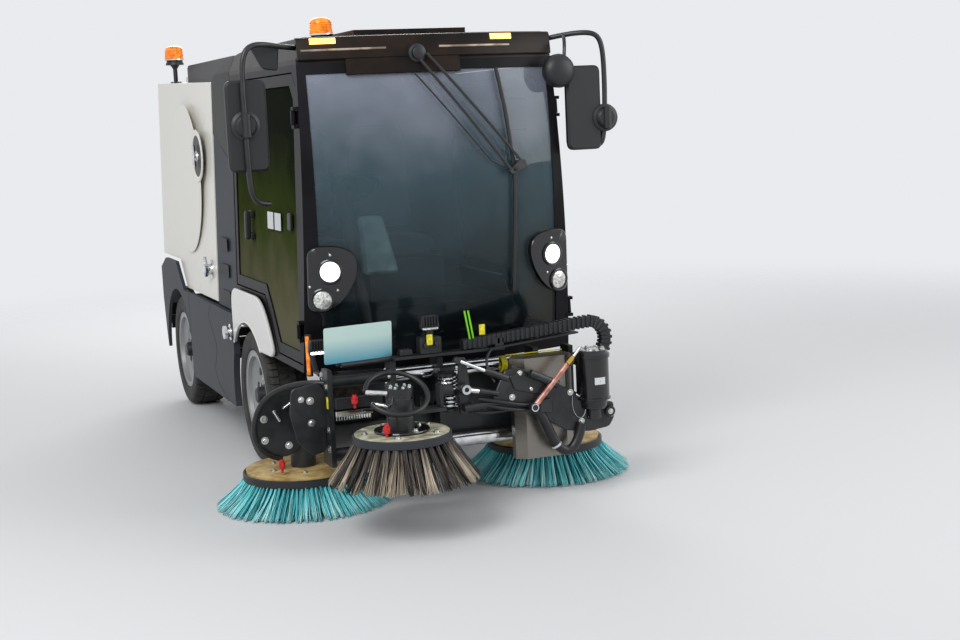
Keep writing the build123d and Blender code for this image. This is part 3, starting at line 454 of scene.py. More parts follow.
def ramped(tree, shader, share, low, middle, high, middle_at=0.5):
    """Base colour through three colours by a share."""
    ramp = node(tree, "ShaderNodeValToRGB", None, {0: share})
    ramp.color_ramp.elements[0].color = linear(low)
    ramp.color_ramp.elements[1].color = linear(high)
    ramp.color_ramp.elements.new(middle_at).color = linear(middle)
    tree.links.new(ramp.outputs["Color"], shader.inputs["Base Color"])


def bristle_finish(name, dark, middle, light, roughness):
    """Each bristle's shade number picks its colour from dark to light, partly its own tone and partly painted shade and
    highlight.
    """
    new, tree, shader = finish(name, middle, roughness)
    shade = node(tree, "ShaderNodeAttribute", {"attribute_name": "shade"})
    ramped(tree, shader, shade.outputs["Fac"], dark, middle, light)
    return new


# Painted light in the ramps: the dark ends are painted shade in the gaps between strands and the light ends painted
# highlights on bright strands; the middles are the bristles' own colours, and the pale beige of the wire is also the
# real colour of some clumps.
teal_bristle = bristle_finish("polypropylene_turquoise", "#157C86", "#6ADDE3", "#CFFCFA", 0.4)
wire_bristle = bristle_finish("flat_wire_brown", "#15110F", "#4A4039", "#C0B39E", 0.5)

# %% [markdown]
# The windscreen is thin blue-grey glass that lets the cab show, under a painted reflection that is pale at the
# top and dark below. The door glass and the engine cover are nearly opaque and mirror nothing: painted
# reflections of ground, greenery and sky grade their colour with height instead. The upper lamps, the light
# strips and the beacons glow by their own emission; the lower lamps are clear lenses over facets.

# %% Glass and lamp finishes
def glass_with_painted_reflection(name, low, middle, high, span, alphas, roughness=0.03, shine=0.5):
    """Glass with a painted reflection: its colour and cover grade with height, standing in for the sky and ground seen
    in it.
    """
    new, tree, shader = finish(name, middle, roughness, Specular_IOR_Level=shine)
    where = node(tree, "ShaderNodeTexCoord")
    split = node(tree, "ShaderNodeSeparateXYZ", None, {0: where.outputs["Object"]})
    wave = node(tree, "ShaderNodeMath", {"operation": "MULTIPLY_ADD"},
                {0: noise_at(tree, where, 5.0, 5.0), 1: 0.45, 2: -0.22})
    height = node(tree, "ShaderNodeMath", {"operation": "ADD"}, {0: split.outputs["Z"], 1: wave.outputs[0]})
    share = mapped(tree, height.outputs[0], span)
    ramped(tree, shader, share, low, middle, high, 0.55)
    tree.links.new(mapped(tree, share, to=alphas), shader.inputs["Alpha"])
    return new


# Painted reflection: the windscreen's blue-grey tint is its own, but the dark-to-pale grading with height paints the
# ground and sky seen in it.
glass = glass_with_painted_reflection("screen_glass_painted_reflection", "#10191B", "#48606A", "#A4A9BA", (0.75, 1.95), (0.24, 0.54))
# Painted reflection: the door glass has no shine of its own; grey-olive low, green in the middle and dark at the top
# paint the ground, greenery and sky.
painted_reflection_door_glass = glass_with_painted_reflection("tinted_door_glass", "#66634F", "#38421F", "#1E211B", (0.75, 1.60), (0.90, 0.95), 0.1, 0.0)
# Painted reflection: the engine cover's grey-olive, green and near-black bands by height paint the ground, greenery and
# sky it would mirror.
painted_reflection_cover = glass_with_painted_reflection("cover_panel_painted_reflection", "#2C2E26", "#1E2812", "#101214", (0.65, 1.95), (1.0, 1.0), 0.2, 0.02)

lamp_lit = coat("lamp_lit", "#FFFFFF", 0.1, (3, 0.2), **glow("#FBFCFF", 2.5))
lens = coat("clear_polycarbonate", "#D9DCDD", 0.08, (7, 0.9, 1.5), ("#A9A9A4", "#F4F4F0", 9), Metallic=0.55)
amber = coat("amber_polycarbonate", "#E8790A", 0.2, (6, 0.2), ("#C65D05", "#F59A2A", 25), **glow("#F07A08", 0.35))
amber_lit = coat("amber_strip_lit", "#FFB040", 0.2, (6, 0.2), **glow("#FFC060", 3.0))
pale_strip = coat("pale_trim", "#9A8878", 0.35, (4, 0.2), ("#7E6C5E", "#B5A594", 60), Metallic=0.3)

# %% [markdown]
# The brush discs are plywood, worn to a tan on the gutter brushes and to a greyish cream on the front
# one. The seats have a grey woven cloth, drawn as crossing threads 3 mm apart so that it shows.

# %% Wood and cloth finishes
disc_wood = coat("plywood_worn", "#B29256", 0.6, (5, 0.3, 0.3), ("#9A7A42", "#CBB27A", 50, (0.35, 0.65)))
disc_cream = coat("plywood_weathered", "#A9A588", 0.65, (5, 0.35, 0.3), ("#77745F", "#C9C6AC", 45, (0.35, 0.65)))

seat_cloth, t, s = finish("seat_cloth_grey", "#5C636B", 0.85, Sheen_Weight=0.3)
place = node(t, "ShaderNodeTexCoord")
thread_mm = 3.0
weave = [node(t, "ShaderNodeTexWave", {"bands_direction": way},
              {"Vector": place.outputs["Object"], "Scale": 1000 / thread_mm / 20}) for way in ("X", "Z")]
cross = node(t, "ShaderNodeMath", {"operation": "MAXIMUM"}, {0: weave[0].outputs["Fac"], 1: weave[1].outputs["Fac"]})
bump = node(t, "ShaderNodeBump", None, {"Height": cross.outputs[0], "Strength": 0.4, "Distance": 0.0005})
t.links.new(bump.outputs["Normal"], s.inputs["Normal"])

# %% [markdown]
# The front gear carries small bright pieces: red spray nozzles, yellow tags, a copper lance with a brass
# hexagon, and the pale teal column cover inside the cab. Each gets its own small finish.

# %% Small bright finishes
nozzle_red = coat("nozzle_red_nylon", "#C4181D", 0.35, (2, 0.2), ("#A81217", "#D92A2A", 8))
tag_yellow = coat("tag_yellow_vinyl", "#E2D513", 0.45, (3, 0.15), ("#CFC10C", "#EFE53A", 12))
strap_green = coat("strap_green_nylon", "#7BD11C", 0.5, (1.5, 0.3))
copper = coat("copper_tube_painted", "#B47E70", 0.35, (6, 0.15), ("#9C6558", "#C99486", 30), Metallic=0.35)
brass = coat("brass_turned", "#C8A65B", 0.25, (2, 0.15), Metallic=1.0)
label_blank = coat("label_blank_white", "#CFD2D3", 0.5, (2, 0.1))
cover_teal = coat("column_cover_teal", "#7FA3A6", 0.55, (2, 0.2), ("#6C9194", "#93B5B7", 120))

plate_blank, t, s = finish("plate_enamel_pale", "#A9CFCB", 0.35, Coat_Weight=0.3)
split = node(t, "ShaderNodeSeparateXYZ", None, {0: node(t, "ShaderNodeTexCoord").outputs["Object"]})
blended(t, s, mapped(t, split.outputs["Z"], (0.66, 0.76)), "#4E9DB6", "#BFDAD3")

# %% [markdown]
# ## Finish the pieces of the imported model
# Most pieces keep their own shape and only take a finish. The table pairs each finish with the starts of
# the names that take it; the longest start that fits wins.

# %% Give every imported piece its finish
finishes = {
    "cab_shell": cab_black, "cab_roof": roof_black, "windscreen": glass, "door": cab_black, "door_glass": painted_reflection_door_glass,
    "engine_cover": painted_reflection_cover, "side_columns": moulded_grey, "front_fenders": gelcoat, "rear_arches": moulded_grey,
    "side_skirts": moulded_grey, "chassis_frame": powder_black, "engine_block": cast, "front_axle": cast,
    "rear_axle": cast, "knuckle": cast, "hopper": hopper_paint, "hopper_box": moulded_black, "beacon": amber,
    "suction_unit": duct_steel, "tip_barrel": powder_black, "tip_rod": chrome, "cross_housing": powder_black,
    "slide_sleeves": chrome, "steel_box": stainless, "head": powder_black, "arm": powder_black,
    "carrier": powder_black, "brush_disc": disc_wood, "bristles": teal_bristle, "boom": powder_black,
    "front_disc": disc_cream, "front_bristles": wire_bristle, "cable_chain": moulded_black, "lamp_pods": gloss_black,
    "lamp_lenses": lens, "mirrors": moulded_black, "seat_frames": moulded_black, "seat_pads": seat_cloth,
    "steering": moulded_black, "tyre": tyre_rubber, "rim": rim_paint,
}
for name, piece in nodes.items():
    start = max((key for key in finishes if name.startswith(key)), key=len)
    for place_slot in piece.material_slots:
        place_slot.material = finishes[start]
print("finishes", len(finishes))

plastic, steel, bright = ("black_plastic", moulded_black), ("chassis_black", powder_black), ("chrome", chrome)
fixings, rubber, glossy = ("chrome", zinc), ("black_plastic", hose_rubber), ("gloss_black", gloss_black)
yellow, red, body_black = ("black_plastic", tag_yellow), ("black_plastic", nozzle_red), ("cab_black", cab_black)
hopper_white = ("hopper_white", hopper_paint)

# %% [markdown]
# ## Roof front, lamps and beacons
# The roof's front edge is a dark band that stands proud of the glass. It holds two amber light strips and
# two pale trims, and a flat cover for the wiper motor hangs from it. All are short bands on the barrel.

# %% Visor, strips and wiper cover
strip_edge = 0.002
visor = front_band(-0.575, 0.575, [(1.893, 0.001), (1.893, 0.014), (1.897, 0.018), (1.976, 0.018), (1.986, 0.012),
                                   (1.989, 0.001)], 60)
cover = front_band(-0.383, 0.110, [(1.826, 0.001), (1.828, 0.012), (1.830, 0.014), (1.896, 0.014), (1.896, 0.001)], 30)
add("visor", "root", ("gloss_black", roof_black), visor, cover)


def light_strip(x_low, x_high, z_low, z_high, proud):
    """A low rounded band on the visor."""
    return front_band(x_low, x_high, [(z_low, 0.012), (z_low, proud - strip_edge), (z_low + strip_edge, proud),
                                      (z_high - strip_edge, proud), (z_high, proud - strip_edge), (z_high, 0.012)], 12)


add("visor_light_strips", "root", ("amber", amber_lit), light_strip(-0.522, -0.419, 1.958, 1.982, 0.024),
    light_strip(0.264, 0.367, 1.958, 1.982, 0.024))
add("visor_pale_trims", "root", ("lens", pale_strip), light_strip(-0.560, -0.212, 1.929, 1.938, 0.0205),
    light_strip(0.020, 0.356, 1.929, 1.938, 0.0205))

# %% [markdown]
# Each lamp pod is one smooth black shape with two round lamps in it, drawn as an outline on the barrel and
# crowned towards its middle. The upper lamp is lit; the lower one shows its faceted reflector.

# %% Lamp pods
pod_outline = np.array([(0.392, 1.000), (0.398, 1.085), (0.470, 1.122), (0.596, 1.122), (0.602, 0.840), (0.510, 0.840),
                        (0.440, 0.905)])
pod_rings = [(1.0, 0.001), (1.0, 0.016), (0.985, 0.022), (0.95, 0.026), (0.6, 0.026), (0.05, 0.026)]
lamp_places = {"upper": (0.503, 1.015, 0.042), "lower": (0.537, 0.897, 0.039)}


def lamp_round(side, x, z, profile):
    """A turned piece on the front surface; its axis is the surface's normal, from two small steps on it."""
    centre, step = front_point(side * x, z), 1e-4
    out = np.cross(front_point(side * x + step, z) - centre, front_point(side * x, z + step) - centre)
    return spun(profile, centre, out, 36)


pods, screws = [], []
for side in (1, -1):
    pods.append(pillow(rounded(pod_outline * (side, 1), 0.05, 9), on_front, pod_rings))
    for x, z, radius in lamp_places.values():
        pods.append(lamp_round(side, x, z, [(0.020, radius + 0.013), (0.031, radius + 0.012), (0.034, radius + 0.007),
                                            (0.033, radius + 0.001), (0.020, radius + 0.001)]))
    for x, z in ((0.500, 1.085), (0.585, 0.955), (0.475, 0.935)):
        screws.append(lamp_round(side, x, z, [(0.024, 0), (0.024, 0.005), (0.029, 0.005), (0.030, 0.003), (0.030, 0)]))
pod_piece = add("pods_black", "root", glossy, *pods)
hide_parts("lamp_pods")
add("pod_screws", "root", fixings, *screws)
for kind, skin in (("upper", lamp_lit), ("lower", lens)):
    x, z, radius = lamp_places[kind]
    dome_profile = [(0.021, 0), (0.021, radius), (0.030, radius), (0.033, radius * 0.8), (0.036, radius * 0.4),
                    (0.0365, 0)]
    dome = add("lamp_domes_" + kind, "root", ("lens", skin),
               *[lamp_round(side, x, z, dome_profile) for side in (1, -1)])
    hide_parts("lamp_lenses")

# %% [markdown]
# A beacon is a ribbed amber dome on a black foot with a bright ring between them. Its whole shape is one
# turned profile, so it stays light, and the ribs are small steps in that profile. The rear one has a stalk.

# %% Beacons
def beacon_profile(low, high, radius, ribs=7):
    """radius(s) = wall with small ribs, then a quarter circle over the top."""
    s = np.linspace(0, 1, ribs * 4)
    tall = high - low
    wall = np.stack([low + tall * 0.68 * s, radius - 0.004 * s + 0.0012 * np.cos(2 * np.pi * ribs * s)], -1)
    turn = np.radians(np.linspace(0, 90, 9))
    top = np.stack([low + tall * (0.68 + 0.32 * np.sin(turn)), (radius - 0.005) * (0.35 + 0.65 * np.cos(turn))], -1)
    return np.concatenate([[(low, 0)], wall, top, [(high, 0)]])


beacons = {"beacon_front": (-0.375, -0.900, "root", 1.990, 2.016, 2.088, 0.050, 0.052),
           "beacon_rear": (-0.490, 1.950, "hopper", 2.010, 2.042, 2.123, 0.054, 0.058)}
for name, (x, y, body, foot_z, dome_z, top_z, foot_radius, dome_radius) in beacons.items():
    centre = (x, y, 0.0)
    foot_profile = [(foot_z, 0), (foot_z, foot_radius), (foot_z + 0.006, foot_radius),
                    (dome_z - 0.008, foot_radius * 0.86), (dome_z - 0.004, foot_radius * 0.95),
                    (dome_z, foot_radius * 0.95), (dome_z, 0)]
    parts = [spun(foot_profile, centre, sky, 36)]
    if body == "hopper":
        parts += [rod((x, y, 1.902), (x, y, foot_z + 0.001), 0.013),
                  spun([(1.985, 0.012), (2.012, 0.030), (2.012, 0.012)], centre, sky, 24),
                  spun([(1.903, 0.0), (1.903, 0.034), (1.909, 0.034), (1.914, 0.014), (1.914, 0)], centre, sky, 24)]
    add(name + "_foot", body, plastic, *parts)
    dome = add(name + "_dome", body, ("amber", amber),
               spun(beacon_profile(dome_z, top_z, dome_radius), centre, sky, 40))
    add(name + "_ring", body, bright,
        drum(dome_z - 0.004, dome_z + 0.003, dome_radius + 0.001, centre, sky, 40, dome_radius * 0.9))
    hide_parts(name)

# %% [markdown]
# ## Mirrors and wiper
# The mirrors hang on bent steel tubes. A few route points eased by a B-spline give the bends of a tube
# bender. The plates are rounded slabs with a clamp boss, and the left tube also carries a round pod.

# %% Mirrors
mirror_plans = (
    (-1, (0.735, 0.905, 1.448, 1.820), 1.636,
     ((0.540, -1.150, 1.948), (0.640, -1.215, 1.952), (0.720, -1.290, 1.962), (0.800, -1.312, 1.962),
      (0.838, -1.318, 1.900), (0.834, -1.318, 1.700), (0.832, -1.318, 1.480), (0.828, -1.316, 1.370),
      (0.800, -1.290, 1.318), (0.740, -1.262, 1.312))),
    (1, (0.612, 0.776, 1.463, 1.832), 1.600,
     ((0.540, -1.150, 1.950), (0.640, -1.222, 1.972), (0.740, -1.290, 1.980), (0.792, -1.298, 1.950),
      (0.798, -1.298, 1.800), (0.796, -1.298, 1.650), (0.788, -1.292, 1.500), (0.770, -1.284, 1.484))),
)
boss_profile = [(0, 0), (0, 0.062), (0.008, 0.060), (0.014, 0.048), (0.020, 0.046), (0.030, 0.036), (0.032, 0)]
plates, tubes, mirror_faces = [], [], []
for side, (inner, outer, low, high), boss_z, route in mirror_plans:
    outline = box(side * inner, side * outer, low, high, 0.032, 7)
    plates.append(slab(outline, facing_front(-1.268), 0.0, 0.036, 0.010))
    mirror_faces.append(slab(outline * 0.94 + outline.mean(0) * 0.06, facing_front(-1.262), 0.0, 0.008, 0.002))
    tubes.append(tube(eased(np.array(route) * (side, 1, 1)), 0.0115, 14))
    boss_x = side * (route[5][0] - 0.004)
    plates.append(spun(boss_profile, (boss_x, -1.300, boss_z), front_out, 32))
    plates.append(rod((boss_x, -1.326, boss_z - 0.05), (boss_x, -1.326, boss_z + 0.05), 0.019, 0.004))
plates.append(spun([(-0.045, 0), (-0.043, 0.030), (-0.036, 0.052), (-0.022, 0.068), (-0.004, 0.074), (0.014, 0.073),
                    (0.020, 0.068), (0.020, 0)], (0.575, -1.300, 1.812), (0, 1, 0), 36))
pod_route = [(0.604, -1.296, 1.850), (0.610, -1.296, 1.905), (0.622, -1.270, 1.950), (0.640, -1.222, 1.968)]
tubes.append(tube(eased(pod_route), 0.008, 10))
bracket = [(-0.765, 1.960), (-0.639, 1.960), (-0.650, 1.856), (-0.715, 1.866), (-0.749, 1.930)]
plates.append(slab(rounded(bracket, 0.014), facing_front(-1.160), 0.0, 0.020, 0.004))
mirror_piece = add("mirror_plates", "root", plastic, *plates)
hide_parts("mirrors")
add("mirror_tubes", "root", ("black_plastic", powder_black), *tubes)
add("mirror_faces", "root", bright, *mirror_faces)

# %% [markdown]
# The wiper is a pantograph: two thin arms side by side from a hub on the visor to a yoke on the blade. They
# are strips that follow the bulged front at their own height above the glass.

# %% Wiper
def front_strip(points, proud, count, width, height):
    """A bar on the bulged front through a few (x, z) points, evenly divided, at a height above it."""
    points = np.asarray(points, float)
    t = np.linspace(0, len(points) - 1, count)
    x, z = (np.interp(t, np.arange(len(points)), points[:, k]) for k in (0, 1))
    return strip(on_front(x, z, proud), bar_section(width, height), front_out)


hub_profile = [(0, 0), (0, 0.040), (0.010, 0.038), (0.014, 0.028), (0.030, 0.026), (0.034, 0.018), (0.034, 0)]
yoke = [(0.298, 1.392), (0.312, 1.376), (0.392, 1.408), (0.384, 1.436), (0.356, 1.440)]
blade = [(0.279, 1.834), (0.308, 1.652), (0.334, 1.400), (0.331, 1.264), (0.321, 1.091), (0.311, 0.868)]
add("wiper", "root", plastic,
    spun(hub_profile, front_point(-0.082, 1.908, 0.016), front_out, 32),
    front_strip([(-0.088, 1.895), (0.310, 1.395)], 0.030, 24, 0.012, 0.008),
    front_strip([(-0.044, 1.905), (0.368, 1.426)], 0.030, 24, 0.012, 0.008),
    front_strip([(-0.103, 1.827), (0.218, 1.443), (0.287, 1.405)], 0.018, 24, 0.007, 0.006),
    slab(rounded(yoke, 0.006), on_front, 0.022, 0.038),
    front_strip(blade, 0.008, 40, 0.016, 0.010),
    front_strip(blade, 0.001, 40, 0.005, 0.010),
    rod(front_point(0.334, 1.400, 0.010), front_point(0.334, 1.400, 0.046), 0.009))

# %% [markdown]
# ## Front gear
# In front of the stainless box hangs a cast linkage with its small cylinders, a canister motor and a wide
# drain hose. The whole group is fixed to the cross housing, so it rides on the root body. Its measures
# are taken from one upright plane.

# %% Linkage in front of the box
gear_y = -1.690
linkage_plates = (
    ([(0.104, 0.585), (0.150, 0.590), (0.185, 0.582), (0.318, 0.512), (0.423, 0.462), (0.470, 0.420), (0.597, 0.400),
      (0.600, 0.335), (0.575, 0.295), (0.480, 0.284), (0.374, 0.300), (0.235, 0.385), (0.060, 0.440), (0.044, 0.474)],
     0.014, 0.016, 0.0, 0.016, 0.003),
    ([(0.120, 0.560), (0.170, 0.572), (0.300, 0.502), (0.280, 0.462), (0.140, 0.500)],
     0.012, 0.0, -0.001, 0.006, 0.002),
    ([(-0.095, 0.420), (-0.060, 0.415), (-0.045, 0.540), (-0.060, 0.655), (-0.090, 0.655), (-0.098, 0.540)],
     0.012, 0.034, 0.0, 0.012, 0.002),
    ([(0.236, 0.396), (0.300, 0.392), (0.296, 0.452), (0.240, 0.450)], 0.010, -0.006, 0.0, 0.030, 0.004),
)
linkage_rods = rods([
    (0.216, 0.015, 0.470, 0.216, 0.055, 0.470, 0.026), (0.330, 0.015, 0.420, 0.330, 0.055, 0.420, 0.026),
    (-0.078, -0.014, 0.527, -0.078, 0.026, 0.527, 0.024), (-0.078, 0.006, 0.527, 0.070, 0.006, 0.490, 0.013),
    (0.017, 0.008, 0.5915, 0.118, 0.008, 0.548, 0.015), (-0.104, -0.006, 0.648, -0.104, 0.022, 0.648, 0.014),
    (0.206, -0.022, 0.566, 0.330, -0.022, 0.506, 0.018), (0.216, -0.022, 0.561, 0.216, 0.0, 0.561, 0.012),
    (0.318, -0.022, 0.512, 0.318, 0.0, 0.512, 0.012), (-0.084, 0.004, 0.446, 0.070, 0.004, 0.452, 0.016),
    (-0.040, 0.004, 0.446, -0.040, 0.130, 0.446, 0.014), (0.213, -0.046, 0.424, 0.213, 0.002, 0.424, 0.018),
    (0.576, -0.012, 0.362, 0.576, 0.016, 0.362, 0.023)], gear_y)
add("linkage_black", "root", steel, *linkage_rods,
    *[slab(rounded(outline, soft), facing_front(gear_y + back), low, high, bevel)
      for outline, soft, back, low, high, bevel in linkage_plates])

gear_routes = [
    (0.021, [(0.228, -0.010, 0.412), (0.262, -0.010, 0.376), (0.289, -0.010, 0.308), (0.318, -0.010, 0.248),
             (0.360, -0.010, 0.210), (0.398, -0.010, 0.224), (0.426, -0.010, 0.273), (0.440, -0.010, 0.327)]),
    (0.008, [(-0.020, 0.004, 0.478), (0.060, -0.018, 0.462), (0.160, -0.018, 0.436), (0.250, 0.004, 0.424)]),
    (0.008, [(-0.020, 0.004, 0.458), (0.060, -0.018, 0.436), (0.160, -0.018, 0.412), (0.250, 0.004, 0.404)]),
    (0.007, [(-0.090, 0.090, 0.560), (-0.110, 0.050, 0.480), (-0.060, 0.010, 0.420), (0.030, 0, 0.415),
             (0.120, 0, 0.420)]),
    (0.006, [(0.100, 0.130, 0.660), (0.060, 0.090, 0.640), (0.040, 0.050, 0.600), (0.060, 0.010, 0.540)]),
]
add("gear_hoses", "root", rubber, *[tube(eased(np.array(route) + (0, gear_y, 0), 9), radius, 14)
                                    for radius, route in gear_routes])

canister = np.array([0.505, -1.684, 0.0])
can_profile = [(0.384, 0), (0.384, 0.054), (0.392, 0.060), (0.420, 0.062), (0.424, 0.075), (0.432, 0.075),
               (0.434, 0.070), (0.600, 0.070), (0.602, 0.075), (0.618, 0.075), (0.626, 0.066), (0.634, 0.060),
               (0.634, 0)]
add("canister_motor", "root", glossy, spun(can_profile, canister, sky, 44),
    rod(canister + (0, 0, 0.34), canister + (0, 0, 0.38), 0.036))
gear_bolts = [(x, gear_y, z) for x, z in
              ((0.168, 0.566), (0.216, 0.496), (0.396, 0.462), (0.444, 0.333), (0.585, 0.350), (0.130, 0.470))]
add("gear_zinc", "root", fixings, *bolts(gear_bolts, front_out, 0.009, 0.009),
    *bolts([(0.576, gear_y - 0.012, 0.362)], front_out, 0.008, 0.008),
    *bolt_ring(canister + (0, 0, 0.634), 0.048, circle_steps(8), 0.008, 0.010),
    spun([(0.633, 0), (0.633, 0.026), (0.642, 0.024), (0.646, 0.014), (0.646, 0)], canister, sky, 24))
edge = strip([(0.176, -1.522, 0.618), (0.300, -1.522, 0.618), (0.438, -1.522, 0.618)],
             bar_section(0.006, 0.004, 0.0, 0.001), sky)
add("yellow_edges", "root", yellow, edge, drum(-0.012, 0.012, 0.0345, (0.178, -1.480, 0.577), (1, 0, 0), 36, 0.030))
can_face = lambda u, v, w: np.stack([canister[0] + (0.0702 + w) * np.sin(u / 0.070),
                                     canister[1] - (0.0702 + w) * np.cos(u / 0.070), v], -1)
label_x = np.linspace(-0.022, 0.028, 9)
label_rows = np.stack([np.append(label_x, label_x[::-1]), np.repeat([0.492, 0.522], 9)], -1)
add("canister_label", "root", ("gloss_black", label_blank), slab(label_rows, can_face, 0.0, 0.0008, 0.0002))

# %% [markdown]
# The bright parts of the linkage: a hard chrome rod, the eye of the tie rod, clamps, a lanyard, and the
# lance, which is a copper tube with a brass hexagon and a chrome tip.

# %% Chrome, copper and brass
lance_y = gear_y - 0.034
lance_foot, lance_end = np.array([0.211, lance_y, 0.421]), np.array([0.427, lance_y, 0.646])
lance_run = (lance_end - lance_foot) / np.linalg.norm(lance_end - lance_foot)
add("lance_copper", "root", ("chrome", copper),
    rod(lance_foot + 0.004 * lance_run, lance_foot + 0.232 * lance_run, 0.0115))
hexagon = [(0.232, 0), (0.232, 0.014), (0.235, 0.017), (0.262, 0.017), (0.266, 0.013), (0.276, 0.011), (0.276, 0)]
add("lance_brass", "root", ("chrome", brass), spun(hexagon, lance_foot, lance_run, 6))
lanyard = np.array([(0.404, -0.004, 0.445), (0.396, -0.014, 0.410), (0.404, -0.018, 0.370), (0.430, -0.016, 0.345),
                    (0.456, -0.012, 0.360), (0.466, -0.006, 0.400), (0.450, -0.004, 0.432)]) + (0, gear_y, 0)
add("gear_chrome", "root", bright,
    *rods([(-0.100, 0.008, 0.646, 0.020, 0.008, 0.590, 0.008), (-0.070, -0.012, 0.524, -0.020, -0.004, 0.512, 0.011),
           (0.420, -0.006, 0.452, 0.470, -0.004, 0.420, 0.004)], gear_y),
    rod(lance_foot + 0.270 * lance_run, lance_foot + 0.322 * lance_run, 0.0065),
    drum(-0.002, 0.010, 0.020, (-0.078, gear_y - 0.016, 0.527), front_out, 28, 0.010),
    drum(-0.005, 0.005, 0.0245, (0.318, gear_y - 0.010, 0.248), (0.52, 0.0, -0.85), 28, 0.020),
    drum(-0.002, 0.004, 0.017, (0.213, gear_y - 0.046, 0.424), front_out, 24, 0.012),
    tube(eased(lanyard, 9), 0.0016, 8))

# %% [markdown]
# ## Cable chain
# A cable chain is a row of box links that rolls over itself. Its centre line is a straight run, a half circle
# and a short lower run; a link sits on it every 22 mm, and a core strip joins them. It lies on a tray.

# %% Cable chain over the left head
chain_start, loop_x, loop_z, loop_radius, lower_end = np.array([-0.025, 0.687]), 0.562, 0.655, 0.079, 0.428
loop_top = np.array([loop_x, loop_z + loop_radius])
run_length = np.linalg.norm(loop_top - chain_start)
half_turn = np.pi * loop_radius
whole = run_length + half_turn + (loop_x - lower_end)


def chain_line(s):
    """Centre line (x, z) and unit tangent at distance s: straight, half circle, straight."""
    s = np.asarray(s, float)
    straight = chain_start + np.clip(s / run_length, 0, 1)[..., None] * (loop_top - chain_start)
    turn = np.pi / 2 - np.clip((s - run_length) / loop_radius, 0, np.pi)
    arc = np.stack([loop_x + loop_radius * np.cos(turn), loop_z + loop_radius * np.sin(turn)], -1)
    beyond = np.clip(s - run_length - half_turn, 0, None)[..., None]
    point = np.where(s[..., None] < run_length, straight, arc - beyond * np.array([1.0, 0.0]))
    return point, np.stack([np.sin(turn), -np.cos(turn)], -1)


chain_back, chain_depth, link_pitch = -1.512, 0.046, 0.022
links = []
for s in np.arange(0.006, whole, link_pitch):
    (x, z), (tx, tz) = chain_line(s)
    tall = 0.020 + 0.006 * min(1.0, s / run_length)
    outline = [(x + a * tx - b * tz, z + a * tz + b * tx) for a, b in box(-0.0065, 0.0065, -tall, tall, 0.003)]
    links.append(slab(outline, facing_front(chain_back), 0.0, chain_depth, 0.0015))
line = chain_line(np.linspace(0, whole, 60))[0]
core_path = np.stack([line[:, 0], 0 * line[:, 0] + chain_back, line[:, 1]], -1)
tray = [
    (box(-0.330, 0.160, 0.652, 0.664, 0.002), -1.494, 0.068, 0.001),
    (box(0.118, 0.158, 0.660, 0.703, 0.003), -1.512, 0.046, 0.001),
    (rounded([(0.090, 0.656), (0.500, 0.690), (0.500, 0.697), (0.090, 0.664)], 0.002, 3), -1.500, 0.070, 0.001),
    (box(-0.215, -0.120, 0.664, 0.734, 0.006), -1.502, 0.052, 0.003),
    (box(-0.178, -0.150, 0.730, 0.772, 0.004), -1.520, 0.020, 0.002),
    (rounded([(-0.300, 0.664), (-0.240, 0.664), (-0.245, 0.690), (-0.295, 0.690)], 0.006, 3), -1.500, 0.040, 0.003),
    (rounded([(0.020, 0.664), (0.090, 0.664), (0.080, 0.700), (0.030, 0.706)], 0.008, 3), -1.500, 0.050, 0.003),
]
chain = add("chain_links", "root", plastic, *links, strip(core_path, bar_section(0.042, 0.036, 0.005), front_out),
            *[slab(outline, facing_front(y), 0.0, deep, bevel) for outline, y, deep, bevel in tray],
            *rods([(-0.190, -1.554, 0.700, -0.190, -1.566, 0.700, 0.012),
                   (-0.145, -1.554, 0.705, -0.145, -1.572, 0.705, 0.010)]))
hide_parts("cable_chain")


def work_lamp(x, y, z):
    """A ribbed work lamp housing and the bright face under its front edge."""
    shell = [(x - 0.042, z - 0.020), (x + 0.042, z - 0.020), (x + 0.034, z + 0.034), (x - 0.034, z + 0.034)]
    ribs = [slab(box(x + a, x + a + 0.005, z - 0.016, z + 0.032, 0.002), facing_front(y - 0.028), 0.0, 0.012, 0.001)
            for a in np.linspace(-0.033, 0.028, 6)]
    face = slab(box(x - 0.034, x + 0.034, z - 0.026, z - 0.014, 0.005, 5), facing_front(y - 0.002), 0.0, 0.034, 0.003)
    return joined(slab(rounded(shell, 0.008), facing_front(y), 0.0, 0.030, 0.004), *ribs), face


shells, lamp_faces = zip(work_lamp(-0.165, -1.520, 0.790), work_lamp(-0.596, -1.330, 0.706))
add("work_lamp_shells", "root", plastic, *shells,
    *rods([(-0.625, -1.345, 0.690, -0.606, -1.345, 0.600, 0.011),
           (-0.606, -1.345, 0.604, -0.606, -1.400, 0.600, 0.010)]))
add("work_lamp_face_corner", "root", ("lens", lamp_lit), lamp_faces[1])
add("work_lamp_face_middle", "root", ("lens", lens), lamp_faces[0])

# %% [markdown]
# Yellow tags, green straps and red nozzles are small rounded slabs, short tubes and turned plugs. The tags
# and the plate are blank.

